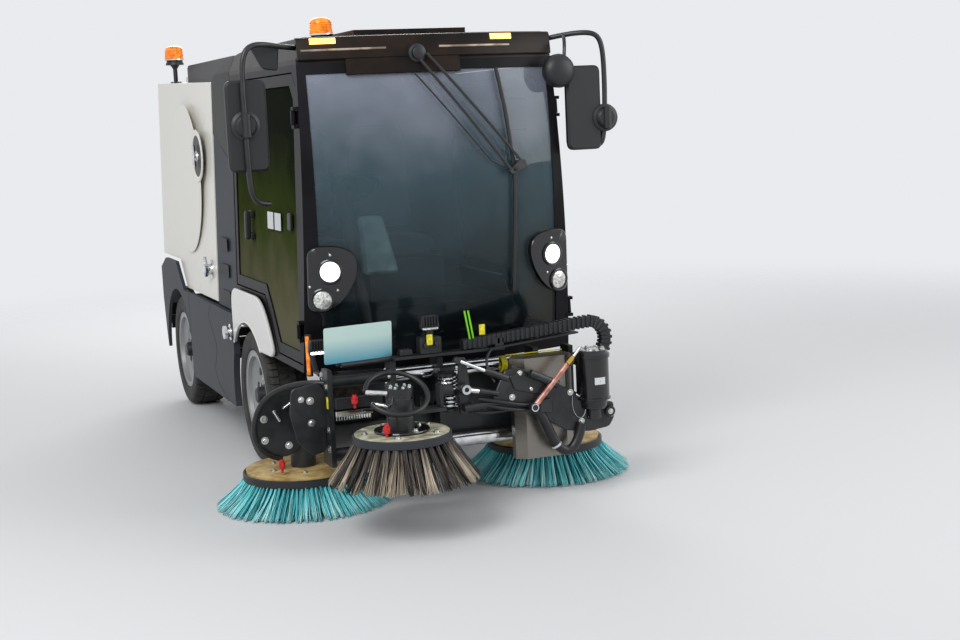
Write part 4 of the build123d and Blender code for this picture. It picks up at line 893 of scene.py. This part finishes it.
# %% Tags, straps, nozzles and the blank plate
add("yellow_tags", "root", yellow,
    *[slab(box(x - 0.013, x + 0.013, z - 0.024, z + 0.020, 0.003), facing_front(y), 0.0, 0.003, 0.001)
      for x, y, z in ((-0.177, -1.566, 0.728), (0.060, -1.560, 0.748))])
add("green_straps", "root", ("black_plastic", strap_green),
    *[tube(eased([(x, -1.548, 0.700), (x - 0.012, -1.556, 0.760), (x - 0.022, -1.552, 0.830)]), 0.004, 8)
      for x in (0.010, 0.026)])
nozzle_profile = [(-0.030, 0), (-0.030, 0.005), (-0.012, 0.006), (-0.010, 0.014), (0.014, 0.015), (0.016, 0.010),
                  (0.026, 0.009), (0.026, 0)]
nozzles = {"nozzle_root": ("root", (-0.504, -1.535, 0.500)), "nozzle_front": ("boom_carrier", (-0.490, -1.905, 0.440)),
           "nozzle_left": ("carrier_left", (0.690, -1.300, 0.225)),
           "nozzle_right": ("carrier_right", (-0.755, -1.250, 0.203))}
for name, (body, centre) in nozzles.items():
    add(name, body, red, spun(nozzle_profile, centre, sky, 20))

plate_lean, plate_slew = np.radians(6), 0.16
plate_place = lambda u, v, w: np.stack([
    -0.473 + u, -1.528 - w * np.cos(plate_lean) - v * np.sin(plate_lean) + plate_slew * u,
    0.738 + v * np.cos(plate_lean)], -1)
add("plate_blank", "root", ("gloss_black", plate_blank),
    slab(box(-0.1525, 0.1525, -0.076, 0.076, 0.010, 5), plate_place, 0.0, 0.002, 0.0008))
add("plate_holder", "root", steel,
    *[slab(box(left, left + 0.040, -0.090, 0.060, 0.004), plate_place, -0.008, -0.0005, 0.001)
      for left in (-0.100, 0.060)],
    *rods([(-0.553, -1.536, 0.652, -0.393, -1.510, 0.652, 0.010),
           (-0.400, -1.510, 0.652, -0.320, -1.505, 0.656, 0.010)]))

# %% [markdown]
# ## Spring, motor hose and heads
# The damper in the cross housing has a chrome coil round it: a tube along a helix. The front brush motor
# has a ring of bolts and a loop of hose that stands up round it.

# %% Spring, brush motors and hose loop
damper_x, damper_y = -0.122, -1.608
coils, coil_radius = 8, 0.034
turn = np.linspace(0, 2 * np.pi * coils, coils * 22)
helix = np.stack([damper_x + coil_radius * np.cos(turn), damper_y + coil_radius * np.sin(turn),
                  0.442 + 0.130 * turn / turn[-1]], -1)
add("damper_spring", "root", bright, tube(helix, 0.0058, 10))
add("damper_body", "root", steel, *[drum(low, high, radius, (damper_x, damper_y, 0.0), sky, 30) for low, high, radius in
                                    ((0.428, 0.440, 0.038), (0.501, 0.515, 0.041), (0.574, 0.586, 0.038),
                                     (0.434, 0.580, 0.022))])

front_axis = np.array([-0.400, -1.820, 0.0])
gutter_x, gutter_y = {"left": 0.520, "right": -0.625}, -1.110
brush_y = front_axis[1]
add("motor_bolts", "boom_carrier", fixings,
    *bolt_ring(front_axis + (0, 0, 0.589), 0.040, circle_steps(8), 0.006, 0.008),
    *bolt_ring(front_axis + (0, 0, 0.424), 0.085, np.radians([20, 110, 200, 290]), 0.009, 0.010))
flange = [(0.415, 0), (0.415, 0.110), (0.420, 0.112), (0.424, 0.110), (0.426, 0.056), (0.426, 0)]
add("motor_bands", "boom_carrier", ("black_plastic", gloss_black), spun(flange, front_axis, sky, 36),
    *[drum(z, z + 0.008, 0.0545, front_axis, sky, 36, 0.050) for z in (0.470, 0.545)])
hoop_angle = np.radians(np.linspace(168, -158, 60))
hoop_lean, hoop_radius = np.radians(33), 0.124
hoop = np.stack([-0.414 + hoop_radius * np.cos(hoop_angle),
                 brush_y + hoop_radius * np.sin(hoop_angle) * np.cos(hoop_lean),
                 0.566 + hoop_radius * np.sin(hoop_angle) * np.sin(hoop_lean)], -1)
add("motor_hose", "boom_carrier", rubber, tube(hoop, 0.0105, 14))
add("motor_elbows", "boom_carrier", bright, rod(hoop[0], (-0.452, brush_y, 0.570), 0.010),
    rod(hoop[-1], (-0.452, brush_y - 0.010, 0.520), 0.010))

# %% [markdown]
# The right head carries a toothed rack with its cover and a shield plate. On the motor's carrier beside it
# stand a guard plate, two chrome rods and a loop of hose. Both sides have bolts and a short hose.

# %% Heads, rack and bolts
rack_teeth = [slab(rounded([(x, 0.424), (x + 0.007, 0.424), (x + 0.006, 0.441), (x + 0.001, 0.441)], 0.001, 3),
                   facing_front(-1.516), 0.0, 0.016, 0.001) for x in np.arange(-0.584, -0.430, 0.011)]
add("rack", "head_right", bright, *rack_teeth,
    slab(box(-0.585, -0.425, 0.440, 0.462, 0.002), facing_front(-1.514), 0.0, 0.018, 0.002))
add("rack_cover", "head_right", steel,
    slab(box(-0.585, -0.380, 0.470, 0.518, 0.006), facing_front(-1.500), 0.0, 0.034, 0.003))
add("head_bolts_right", "head_right", fixings,
    *bolts([(-0.605, y, z) for y, z in ((-1.480, 0.560), (-1.480, 0.380), (-1.480, 0.300), (-1.400, 0.440),
                                        (-1.420, 0.600))], (-1, 0, 0), 0.011, 0.008))
add("head_bolts_left", "head_left", fixings,
    *bolts([(0.500, -1.480, z) for z in (0.560, 0.380, 0.300)], (1, 0, 0), 0.011, 0.008))
add("head_tag", "head_right", yellow,
    slab(box(-1.500, -1.478, 0.470, 0.520, 0.003), facing_side(-1, 0.605), 0.0, 0.003, 0.001))
shield = [(-0.742, 0.558), (-0.623, 0.576), (-0.594, 0.537), (-0.609, 0.285), (-0.669, 0.270), (-0.728, 0.335),
          (-0.756, 0.454)]
shield_y, guard_y, plate_thickness = -1.430, -1.170, 0.012
add("head_shield", "head_right", steel,
    slab(rounded(shield, 0.020, 6), facing_front(shield_y), 0.0, plate_thickness, 0.003))
shield_face, guard_face = shield_y - plate_thickness, guard_y - plate_thickness
add("shield_bolts", "head_right", fixings,
    *bolts([(-0.667, shield_face, 0.503), (-0.666, shield_face, 0.410)], front_out, 0.011, 0.010),
    *bolts([(-0.705, shield_face, 0.512)], front_out, 0.009, 0.010))
guard = [(-0.837, 0.428), (-0.791, 0.500), (-0.703, 0.523), (-0.634, 0.506), (-0.650, 0.250), (-0.722, 0.220),
         (-0.794, 0.249), (-0.844, 0.329)]
add("motor_guard", "carrier_right", steel,
    slab(rounded(guard, 0.028, 7), facing_front(guard_y), 0.0, plate_thickness, 0.004))
add("guard_bolts", "carrier_right", fixings,
    *bolts([(x, guard_face, z) for x, z in ((-0.805, 0.397), (-0.806, 0.305), (-0.703, 0.273))],
           front_out, 0.011, 0.010))
add("guard_rods", "carrier_right", bright,
    *rods([(-0.656, 0, 0.477, -0.722, 0, 0.435, 0.006), (-0.765, 0, 0.433, -0.738, 0, 0.383, 0.008)], -1.194))
guard_route = [(-0.591, -1.440, 0.567), (-0.651, -1.400, 0.572), (-0.705, -1.330, 0.558), (-0.762, -1.260, 0.529),
               (-0.820, -1.225, 0.481), (-0.850, -1.210, 0.409), (-0.858, -1.205, 0.346), (-0.840, -1.200, 0.284),
               (-0.795, -1.190, 0.239), (-0.737, -1.175, 0.217)]
add("guard_hose", "carrier_right", rubber, tube(eased(guard_route, 9), 0.0125, 14))
carrier_route = [(0.020, -1.130, 0.316), (0.045, -1.150, 0.352), (0.050, -1.120, 0.384), (0.035, -1.050, 0.380),
                 (0.020, -1.020, 0.330), (0.010, -1.040, 0.300)]
for name, x in gutter_x.items():
    side = np.sign(x)
    link_places = [(x - side * 0.004, y, z) for y, z in ((-1.350, 0.385), (-1.250, 0.348))]
    add("link_bolts_" + name, "arm_" + name, fixings, *bolts(link_places, (side, 0, 0), 0.012, 0.009))
    add("carrier_bolts_" + name, "carrier_" + name, fixings,
        *bolt_ring((x, gutter_y, 0.312), 0.040, circle_steps(6, 0.4), 0.007, 0.008))
    add("carrier_hoses_" + name, "carrier_" + name, rubber,
        tube(eased(np.array(carrier_route) * (side, 1, 1) + (x, 0, 0)), 0.0095, 12))


# %% [markdown]
# ## Tyres with tread
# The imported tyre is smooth. The section of a real one is close to a superellipse, and its tread is a ring
# of blocks. The surface is a function of the angle round the wheel and the angle round the section; the
# grid lines run along the block edges, so the grooves stay crisp with few faces.

# %% Tyres
tyre_radius, tyre_half_width, section_radius = 0.326, 0.0970, 0.270
wheel_x, groove_depth, blocks = 0.520, 0.008, 56
block_lines = np.array([0.0, 0.03, 0.17, 0.20, 0.45, 0.72])
block_cut = np.array([0.0, 1.0, 1.0, 0.0, 0.0, 0.0])
rib_lines = np.array([-72, -71, -46, -45, -38, -37, -8, -7, 0, 7, 8, 37, 38, 45, 46, 71, 72]) / 1000


def tyre_section():
    """Superellipse x = a*sign(cos)*|cos|^0.45, r = r0 + b*sign(sin)*|sin|^0.45, with extra columns on the tread."""
    phi = np.radians(np.concatenate([np.linspace(-52, 35, 14), np.linspace(145, 232, 14)]))
    bend = lambda v: np.sign(v) * np.abs(v) ** 0.45
    x = tyre_half_width * bend(np.cos(phi))
    r = section_radius + (tyre_radius - section_radius) * bend(np.sin(phi))
    crown = tyre_radius - 0.004 * (rib_lines / 0.072) ** 2
    return np.concatenate([x[:14], rib_lines[::-1], x[14:]]), np.concatenate([r[:14], crown[::-1], r[14:]])


def tyre_points(side, wheel_y):
    """radius(angle, x) = section radius - depth where the block pattern or a long groove cuts."""
    x, r = (values[None, :] for values in tyre_section())
    angle = (np.arange(blocks)[:, None] + block_lines).reshape(-1, 1) * 2 * np.pi / blocks
    cross = np.tile(block_cut, blocks)[:, None]
    off = np.abs(x)
    in_long = (np.abs(off - 0.0415) < 0.004) & (off < 0.05)
    in_slot = (off > 0.0455) & (off < 0.086) & (r > 0.30)
    in_mid = off < 0.0365
    cut = np.clip(in_long + in_slot * cross + in_mid * np.roll(cross, 3, axis=0), 0, 1)
    radius = r - groove_depth * cut
    lean = angle + 0.10 * (x / 0.08) * in_mid + 0.02 * np.sign(x) * in_slot
    across = np.broadcast_to(x * side + wheel_x * side, radius.shape)
    return np.stack([across, wheel_y + radius * np.cos(lean), tyre_radius + radius * np.sin(lean)], -1)


front_wheel_y, rear_wheel_y = -0.210, 1.580
wheel_corners = {"front_left": (1, front_wheel_y), "front_right": (-1, front_wheel_y),
                 "rear_left": (1, rear_wheel_y), "rear_right": (-1, rear_wheel_y)}
for corner, (side, wheel_y) in wheel_corners.items():
    points = tyre_points(side, wheel_y)
    faces = grid_faces(*points.shape[:2], True)[:, ::-side]
    tyre = make("tread_" + corner, points, faces, "wheel_" + corner, "tyre", tyre_rubber, closed=False, crisp=40)
    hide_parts("tyre_" + corner)
print("tyre faces", len(faces))

# %% [markdown]
# ## Wheel faces
# Each rim gets eight hand holes, drawn as dark discs that paint the shade seen through them, six studs on a small
# circle and a dark hub cap of its own. They sit on the dished face: x(r) falls from the bead to the hub in a straight
# line.

# %% Hand holes, studs and hub caps
hole_radius, stud_radius, hub_depth = 0.128, 0.078, 0.040
hole_profile = [(-0.006, 0), (-0.006, 0.021), (0.0010, 0.021), (0.0018, 0.019), (0.0018, 0)]
cap_profile = [(-0.004, 0), (-0.004, 0.054), (0.010, 0.052), (0.014, 0.044), (0.042, 0.040), (0.050, 0.032), (0.050, 0)]


def on_rim(side, wheel_y, radius, angle):
    """Point on the dished wheel face at a radius and an angle."""
    deep = hub_depth + 0.008 * (radius - 0.06) / 0.09
    return side * (wheel_x + deep), wheel_y + radius * np.cos(angle), tyre_radius + radius * np.sin(angle)


for corner, (side, wheel_y) in wheel_corners.items():
    body, out = "wheel_" + corner, (side, 0, 0)
    # Painted shade: the hand holes are dark discs on the rim face; the hub cap beside them is a real dark part.
    add("wheel_dark_" + corner, body, plastic,
        *[spun(hole_profile, on_rim(side, wheel_y, hole_radius, a), out, 24) for a in circle_steps(8, 0.2)],
        spun(cap_profile, (side * (wheel_x + hub_depth), wheel_y, tyre_radius), out, 36))
    add("wheel_studs_" + corner, body, fixings,
        *bolts([on_rim(side, wheel_y, stud_radius, a) for a in circle_steps(6, 0.5)], out, 0.009, 0.012))
    add("wheel_lip_" + corner, body, ("rim_paint", rim_paint),
        drum(0.080, 0.088, 0.222, (side * wheel_x, wheel_y, tyre_radius), out, 72, 0.216))

# %% [markdown]
# ## Side details
# The hopper side is pressed with a large shallow circle, and the right side carries a round latch. Below it a
# seam wanders over the dark skirt, steps are let into the column, and the door has its handle and lock.

# %% Hopper circle and latch
turn, circle_radius = circle_steps(96), 0.415
circle_outline = np.stack([1.180 + circle_radius * np.cos(turn), 1.350 + circle_radius * np.sin(turn)], -1)
for side, name in ((1, "left"), (-1, "right")):
    add("hopper_circle_" + name, "hopper", hopper_white,
        slab(circle_outline, facing_side(side, 0.6165), 0.0, 0.0035, 0.003))
latch, latch_out = (-0.617, 0.800, 1.480), (-1, 0, 0)
dish = [(0.0, 0.100), (0.0, 0.138), (0.005, 0.142), (0.010, 0.138), (0.005, 0.122), (0.004, 0.100)]
add("latch_ring", "hopper", hopper_white, spun(dish, latch, latch_out, 60, True))
# Painted shade: a dark disc inside the latch ring stands for the shade in its recess.
add("latch_recess_painted_shade", "hopper", plastic,
    spun([(0.0, 0), (0.0, 0.122), (0.0045, 0.121), (0.0045, 0)], latch, latch_out, 60))
knob_profile = [(-0.010, 0), (-0.010, 0.050), (0.004, 0.052), (0.008, 0.030), (0.020, 0.030), (0.024, 0.040),
                (0.040, 0.040), (0.046, 0.030), (0.046, 0)]
add("latch_chrome", "hopper", bright, spun([(0.0, 0), (0.0, 0.030), (0.010, 0.026), (0.012, 0)], latch, latch_out, 30),
    spun(knob_profile, (-0.616, 0.640, 0.880), latch_out, 36),
    *rods([(-0.617, 0.800, 1.480, -0.640, 0.800, 1.480, 0.012), (-0.638, 0.800, 1.420, -0.638, 0.800, 1.540, 0.009),
           (-0.640, 0.640, 0.880, -0.650, 0.640, 0.950, 0.009)]))

# %% [markdown]
# The white front fender is one thin panel on each side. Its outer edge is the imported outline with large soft
# corners; its wheel opening is an arc with a rolled edge.

# %% Front fenders
arch_turn = np.radians(np.linspace(41.5, 134.5, 40))
arch_radius = 0.390
arch = np.stack([front_wheel_y + arch_radius * np.cos(arch_turn), 0.300 + arch_radius * np.sin(arch_turn)], -1)
fender_edge = rounded([(-0.4815, 0.580), (-0.755, 0.582), (-0.630, 0.745), (-0.500, 0.838), (0.086, 0.838),
                       (0.086, 0.560)], 0.095, 9)
fender_outline = np.concatenate([arch, fender_edge[9:45], [(0.086, 0.600), (0.086, 0.562)]])
fender_parts = []
for side in (1, -1):
    fender_parts.append(slab(fender_outline, facing_side(side, 0.6235), 0.0, 0.0175, 0.005))
    fender_parts.append(tube(facing_side(side, 0.6385)(arch[:, 0], arch[:, 1], 0 * arch_turn), 0.0055, 10))
fender_piece = add("fender_panels", "root", ("white_gelcoat", gelcoat), *fender_parts)
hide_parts("front_fenders")

# %% [markdown]
# The seam is a thin dark strip along an eased route. The steps are shallow dark pads that paint the shade in
# their recesses, and a chrome knob sits near the front end of each skirt.

# %% Skirt seams and column steps
skirt_x = 0.6405
skirt_seam = [(0.621, 0.701), (0.704, 0.636), (0.661, 0.583), (0.510, 0.499), (0.533, 0.428), (0.608, 0.361),
              (0.564, 0.299), (0.421, 0.252), (0.303, 0.220)]
skirt_knob = [(-0.010, 0), (-0.010, 0.040), (0.006, 0.042), (0.010, 0.026), (0.022, 0.026), (0.026, 0.036),
              (0.038, 0.034), (0.040, 0)]
for side, name in ((1, "left"), (-1, "right")):
    out = (side, 0, 0)
    route = eased([(side * skirt_x, y, z) for y, z in skirt_seam], 6)
    add("skirt_seam_" + name, "root", body_black, strip(route, bar_section(0.008, 0.0012, 0.0, 0.0004), out))
    # Painted shade: dark pads stand for the shade inside the column's step recesses.
    add("column_step_painted_shade_" + name, "root", body_black,
        *[slab(box(0.200, 0.400, z - 0.034, z + 0.034, 0.014, 5), facing_side(side, 0.6155), 0.0, 0.0025, 0.001)
          for z in (1.035, 0.900, 0.765)])
    add("skirt_knob_" + name, "root", bright, spun(skirt_knob, (side * skirt_x, 0.135, 0.603), out, 36))

# %% Door handles, locks and blank labels
for side, name in ((1, "left"), (-1, "right")):
    body = "door_" + name
    add("door_handle_" + name, body, plastic,
        slab(box(-0.350, -0.318, 1.100, 1.235, 0.012, 5), on_side(side, 0.012), 0.0, 0.026, 0.006),
        *[slab(box(-0.356, -0.312, z - 0.018, z + 0.018, 0.008, 5), on_side(side, -0.004), 0.0, 0.018, 0.003)
          for z in (1.115, 1.220)],
        slab(box(-1.075, -1.020, 1.180, 1.255, 0.012, 5), on_side(side, -0.004), 0.0, 0.014, 0.004))
    add("door_label_" + name, body, ("white_gelcoat", label_blank),
        *[slab(box(low, high, 1.168, 1.245, 0.005), on_side(side, 0.0012), 0.0, 0.0006, 0.0002)
          for low, high in ((-0.745, -0.637), (-0.880, -0.768))])
corner_place = lambda u, v, w: np.stack([-0.622 + 0.707 * u - 0.707 * w, -1.290 - 0.707 * u - 0.707 * w, v], -1)
# The reflector takes the beacons' amber finish; its faint glow is painted light, since a reflector is no lamp.
add("corner_reflector", "root", ("amber", amber),
    slab(box(-0.008, 0.008, 0.585, 0.750, 0.003), corner_place, 0.0, 0.008))
add("reflector_backing", "root", plastic, slab(box(-0.013, 0.013, 0.578, 0.757, 0.004), corner_place, -0.012, 0.001))

# %% [markdown]
# ## Seats
# Two seats stand in the cab, each a cushion and a back. Each pad starts as a crowned form a little smaller than
# its solid. Blender's cloth then swells it: the pad's own pressure pushes it out, gravity is off, and no point
# moves further than the cap.

# %% Padded seats
def places_of(mesh):
    """Vertex places of a mesh."""
    flat = np.empty(len(mesh.vertices) * 3)
    mesh.vertices.foreach_get("co", flat)
    return flat.reshape(-1, 3)


def shaped(form):
    """An object's mesh as its modifiers leave it."""
    return bpy.data.meshes.new_from_object(form.evaluated_get(bpy.context.evaluated_depsgraph_get()))


def stuffed(points, faces, pressure=4.0, cap=0.009, voxel=0.0065, frames=20):
    """Voxel remesh, cloth pressure over a few frames, moves capped and applied; returns points and faces."""
    mesh = bpy.data.meshes.new("pad_form")
    mesh.from_pydata([tuple(p) for p in points], [], faces)
    form = bpy.data.objects.new("pad_form", mesh)
    scene = bpy.context.scene
    scene.collection.objects.link(form)
    even = form.modifiers.new("even", "REMESH")
    even.mode, even.voxel_size = "VOXEL", voxel
    form.data = shaped(form)
    form.modifiers.clear()
    begin = places_of(form.data)
    end = begin
    cloth = form.modifiers.new("stuffing", "CLOTH")
    cloth.settings.use_pressure = True
    cloth.settings.uniform_pressure_force = pressure
    cloth.settings.effector_weights.gravity = 0
    cloth.point_cache.frame_start, cloth.point_cache.frame_end = 1, frames
    for frame_number in range(1, frames + 1):
        scene.frame_set(frame_number)
    end = places_of(shaped(form))
    scene.frame_set(1)
    form.modifiers.clear()
    move = end - begin
    length = np.linalg.norm(move, axis=1, keepdims=True)
    end = begin + move * np.minimum(1, cap / np.maximum(length, 1e-9))
    rings = [list(face.vertices) for face in form.data.polygons]
    bpy.data.objects.remove(form)
    return end, rings


cushion_rings = [(0.84, 0.004), (0.95, 0.010), (1.0, 0.034), (0.99, 0.064), (0.95, 0.082), (0.84, 0.094), (0.55, 0.098),
                 (0.20, 0.099)]
back_rings = [(0.82, -0.036), (0.96, -0.026), (1.0, 0.0), (0.97, 0.022), (0.84, 0.034), (0.50, 0.037), (0.20, 0.037)]
cushion_outline = box(-0.174, 0.174, -0.418, -0.012, 0.075, 9)
back_outline = rounded([(-0.168, 1.082), (0.168, 1.082), (0.160, 1.608), (-0.160, 1.608)], 0.085, 9)
cushion_place = lambda x, y, h: np.stack([x, y, 0.961 + h], -1)
back_place = lambda x, z, h: np.stack([x, -0.050 + 0.058 * (z - 1.070) / 0.55 - h, z], -1)
pads = {"cushion": stuffed(*pillow(cushion_outline, cushion_place, cushion_rings)),
        "back": stuffed(*pillow(back_outline, back_place, back_rings))}
for pad_name, (points, faces) in pads.items():
    for seat_name, x in (("right", -0.280), ("left", 0.130)):
        piece = make("seat_" + pad_name + "_" + seat_name, points + np.array([x, 0, 0]), faces, "root",
                     "seat_fabric", seat_cloth, crisp=60)
        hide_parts("seat_pads")

# %% Column cover and inner mirror
cover_outline = [(-0.286, 1.215), (-0.176, 1.215), (-0.109, 0.957), (-0.269, 0.957)]
add("column_cover", "root", ("grey_panel", cover_teal),
    slab(rounded(cover_outline, 0.020), facing_front(-0.960), 0.0, 0.060, 0.012))
mirror_outline = [(0.307, 1.708), (0.49, 1.701), (0.484, 1.559), (0.301, 1.568)]
add("inner_mirror", "root", glossy, slab(rounded(mirror_outline, 0.030, 8), facing_front(-1.140), 0.0, 0.016, 0.005))

# %% [markdown]
# ## Bristles
# A sweeping brush is a disc with tufts of bristles set in rings of holes. Each bristle leaves its hole at a
# slant and bends outwards to its tip. All of them are one mesh: a three-sided stick is carried along
# radius(t) = base + (tip - base)*t^p, height(t) = falling evenly, with small seeded differences.

# %% Bristle rings
def bristle_ring(name, body, skin, centre, top_z, tip_z, base_radii, tip_radii, tufts, per_tuft, thickness, curve,
                 seed, clump, rings=6, sides=3):
    """Sticks from rings of tufts under a disc out to their tips on a wider ring."""
    rng = np.random.default_rng(seed)
    rows = len(base_radii)
    count = rows * tufts * per_tuft
    row = np.repeat(np.arange(rows), tufts * per_tuft)
    tuft = np.tile(np.repeat(np.arange(tufts), per_tuft), rows)
    spread = rng.normal(0, 1, (5, count))
    theta = (tuft + 0.5 * (row % 2)) * 2 * np.pi / tufts + spread[0] * 0.13 * 2 * np.pi / tufts
    base = np.array(base_radii)[row] + spread[1] * 0.004
    tip = np.array(tip_radii)[row] + np.clip(spread[2], -2, 1.0) * 0.010
    lean = rng.normal(size=rows * tufts)[row * tufts + tuft]
    sway = (0.16 * spread[3] + 0.22 * lean) * 2 * np.pi / tufts
    end_z = tip_z + np.abs(spread[4]) * 0.006
    t = np.linspace(0, 1, rings)[None, :]
    radius = base[:, None] + (tip - base)[:, None] * t**curve
    angle = theta[:, None] + sway[:, None] * t**1.5 + 0.003 * np.sin(9 * t + 40 * theta[:, None])
    height = top_z + (end_z - top_z)[:, None] * t
    line = np.stack([centre[0] + radius * np.cos(angle), centre[1] + radius * np.sin(angle), height], -1)
    outward = np.stack([np.cos(angle), np.sin(angle), 0.3 + 0 * angle], -1)
    sideways = np.stack([-np.sin(angle), np.cos(angle), 0 * angle], -1)
    corner = np.radians([90, 210, 330])[None, None, :, None]
    taper = (1 - 0.35 * t)[..., None, None] * thickness / 2
    ring = np.cos(corner) * sideways[:, :, None] * 1.5 + np.sin(corner) * outward[:, :, None]
    points = line[:, :, None] + ring * taper
    first = rings * sides * np.arange(count)[:, None]
    walls = (grid_faces(rings, sides, False, True)[:, ::-1][None] + first[..., None]).reshape(-1, 4)
    tips = (first + (rings - 1) * sides + np.arange(sides))[:, ::-1]
    piece = make(name, points, list(walls) + list(tips), body, *skin, closed=False, crisp=180)
    shade = piece.data.attributes.new("shade", "FLOAT", "POINT")
    # Painted shade: the shade number grows from root to tip, so the roots under the disc come out dark; the random tone
    # per bristle and per tuft is partly the real spread of colours and partly painted highlight and shade between
    # strands.
    tone = np.clip(0.5 + 0.2 * rng.normal(size=count) + clump * rng.normal(size=rows * tufts)[row * tufts + tuft], 0, 1)
    painted_root_shade_and_tone = np.clip(tone[:, None] * (0.55 + 0.85 * t), 0, 1)
    shade.data.foreach_set("value", np.repeat(painted_root_shade_and_tone.reshape(-1), sides).astype(np.float32))
    print(name, count, "bristles")
    return piece


for name, x in gutter_x.items():
    piece = bristle_ring("bristle_ring_" + name, "brush_" + name, ("bristle_teal", teal_bristle), (x, gutter_y),
                         0.124, 0.003, (0.212, 0.232, 0.252), (0.328, 0.352, 0.376), 84, 10, 0.0044, 1.15,
                         3 + (x > 0), 0.16)
    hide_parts("bristles_" + name)
piece = bristle_ring("bristle_ring_front", "front_brush", ("bristle_steel", wire_bristle), front_axis, 0.380, 0.217,
                     (0.148, 0.168, 0.186), (0.240, 0.268, 0.294), 34, 20, 0.0042, 1.05, 9, 0.24)
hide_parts("front_bristles")

# %% [markdown]
# The disc of each brush is a board on a rim. Both are turned about the brush's own axis, and a circle of
# bolts holds them.

# %% Brush discs
board_profile = [(0.146, 0), (0.146, 0.250), (0.160, 0.250), (0.162, 0.247), (0.162, 0)]
rim_profile = [(0.118, 0), (0.118, 0.260), (0.121, 0.264), (0.149, 0.264), (0.153, 0.259), (0.1462, 0.2505),
               (0.1458, 0)]
front_board_profile = [(0.396, 0), (0.396, 0.190), (0.410, 0.190), (0.413, 0.186), (0.413, 0)]
front_rim_profile = [(0.376, 0), (0.376, 0.194), (0.379, 0.198), (0.407, 0.198), (0.411, 0.195), (0.409, 0.1905),
                     (0.3958, 0.1905), (0.3956, 0)]
bolt_circle = 0.150
for name, x in gutter_x.items():
    body, centre = "brush_" + name, (x, gutter_y, 0.0)
    board = add("disc_board_" + name, body, ("disc_wood", disc_wood), spun(board_profile, centre, sky, 72))
    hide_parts("brush_disc_" + name)
    add("disc_rim_" + name, body, plastic, spun(rim_profile, centre, sky, 72))
    add("disc_bolts_" + name, body, fixings,
        *bolt_ring((x, gutter_y, 0.162), bolt_circle, circle_steps(6, 0.3), 0.009, 0.009))
front_board = add("disc_board_front", "front_brush", ("disc_wood", disc_cream),
                  spun(front_board_profile, front_axis, sky, 72))
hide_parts("front_disc")
add("disc_rim_front", "front_brush", ("grey_panel", moulded_grey), spun(front_rim_profile, front_axis, sky, 72))
add("disc_bolts_front", "front_brush", fixings,
    *bolt_ring(front_axis + (0, 0, 0.413), bolt_circle, circle_steps(5, 0.5), 0.010, 0.010))

# %% [markdown]
# ## Studio
# A pale floor that fades out, with soft lamps. The world looks white to the camera and to mirrors, through
# Light Path, while the object is lit at a plain level.

# %% Floor, world and lamps
floor_mesh = bpy.data.meshes.new("floor")
floor_mesh.from_pydata([(-30, -30, 0), (30, -30, 0), (30, 30, 0), (-30, 30, 0)], [], [(0, 1, 2, 3)])
floor = bpy.data.objects.new("floor", floor_mesh)
bpy.context.scene.collection.objects.link(floor)
floor_paint = coat("studio_floor", "#D9DADB", 0.8, (40, 0.05))
floor_mesh.materials.append(floor_paint)
t = floor_paint.node_tree
far = node(t, "ShaderNodeVectorMath", {"operation": "LENGTH"}, {0: node(t, "ShaderNodeTexCoord").outputs["Object"]})
share = node(t, "ShaderNodeMapRange", {"interpolation_type": "SMOOTHSTEP"},
             {"Value": far.outputs["Value"], "From Min": 3.5, "From Max": 9.0})
clear = node(t, "ShaderNodeBsdfTransparent")
blend = node(t, "ShaderNodeMixShader", None, {0: share.outputs["Result"], 1: t.nodes["Principled BSDF"].outputs[0],
                                              2: clear.outputs[0]})
t.links.new(blend.outputs[0], t.nodes["Material Output"].inputs["Surface"])

world = bpy.data.worlds.new("studio")
bpy.context.scene.world = world
world.use_nodes = True
t = world.node_tree
background = t.nodes["Background"]
path = node(t, "ShaderNodeLightPath")
seen = path.outputs["Is Camera Ray"]
for ray in ("Is Glossy Ray", "Is Transmission Ray"):
    seen = node(t, "ShaderNodeMath", {"operation": "MAXIMUM"}, {0: seen, 1: path.outputs[ray]}).outputs[0]
background.inputs["Color"].default_value = linear("#E9EBEE")
t.links.new(mapped(t, seen, to=(0.55, 1.0)), background.inputs["Strength"])


def lamp(name, place_m, target, watts, size=4.0):
    """A square area lamp that faces its target."""
    light = bpy.data.lights.new(name, "AREA")
    light.size = size
    light.energy = watts
    new = bpy.data.objects.new(name, light)
    bpy.context.scene.collection.objects.link(new)
    away = np.array(place_m) - np.array(target)
    away = away / np.linalg.norm(away)
    side = np.cross(sky, away)
    side = side / np.linalg.norm(side)
    turn = np.eye(4)
    turn[:3] = np.stack([side, np.cross(away, side), away, place_m], -1)
    new.matrix_world = Matrix(turn)


lamp("key", (-5.0, -5.5, 6.0), (0, 0, 0.8), 420)
lamp("fill", (5.5, -4.5, 3.5), (0, -0.5, 0.8), 170)
lamp("back", (1.5, 7.0, 5.0), (0, 0.5, 1.0), 260)

bpy.context.scene.view_settings.view_transform = "Standard"
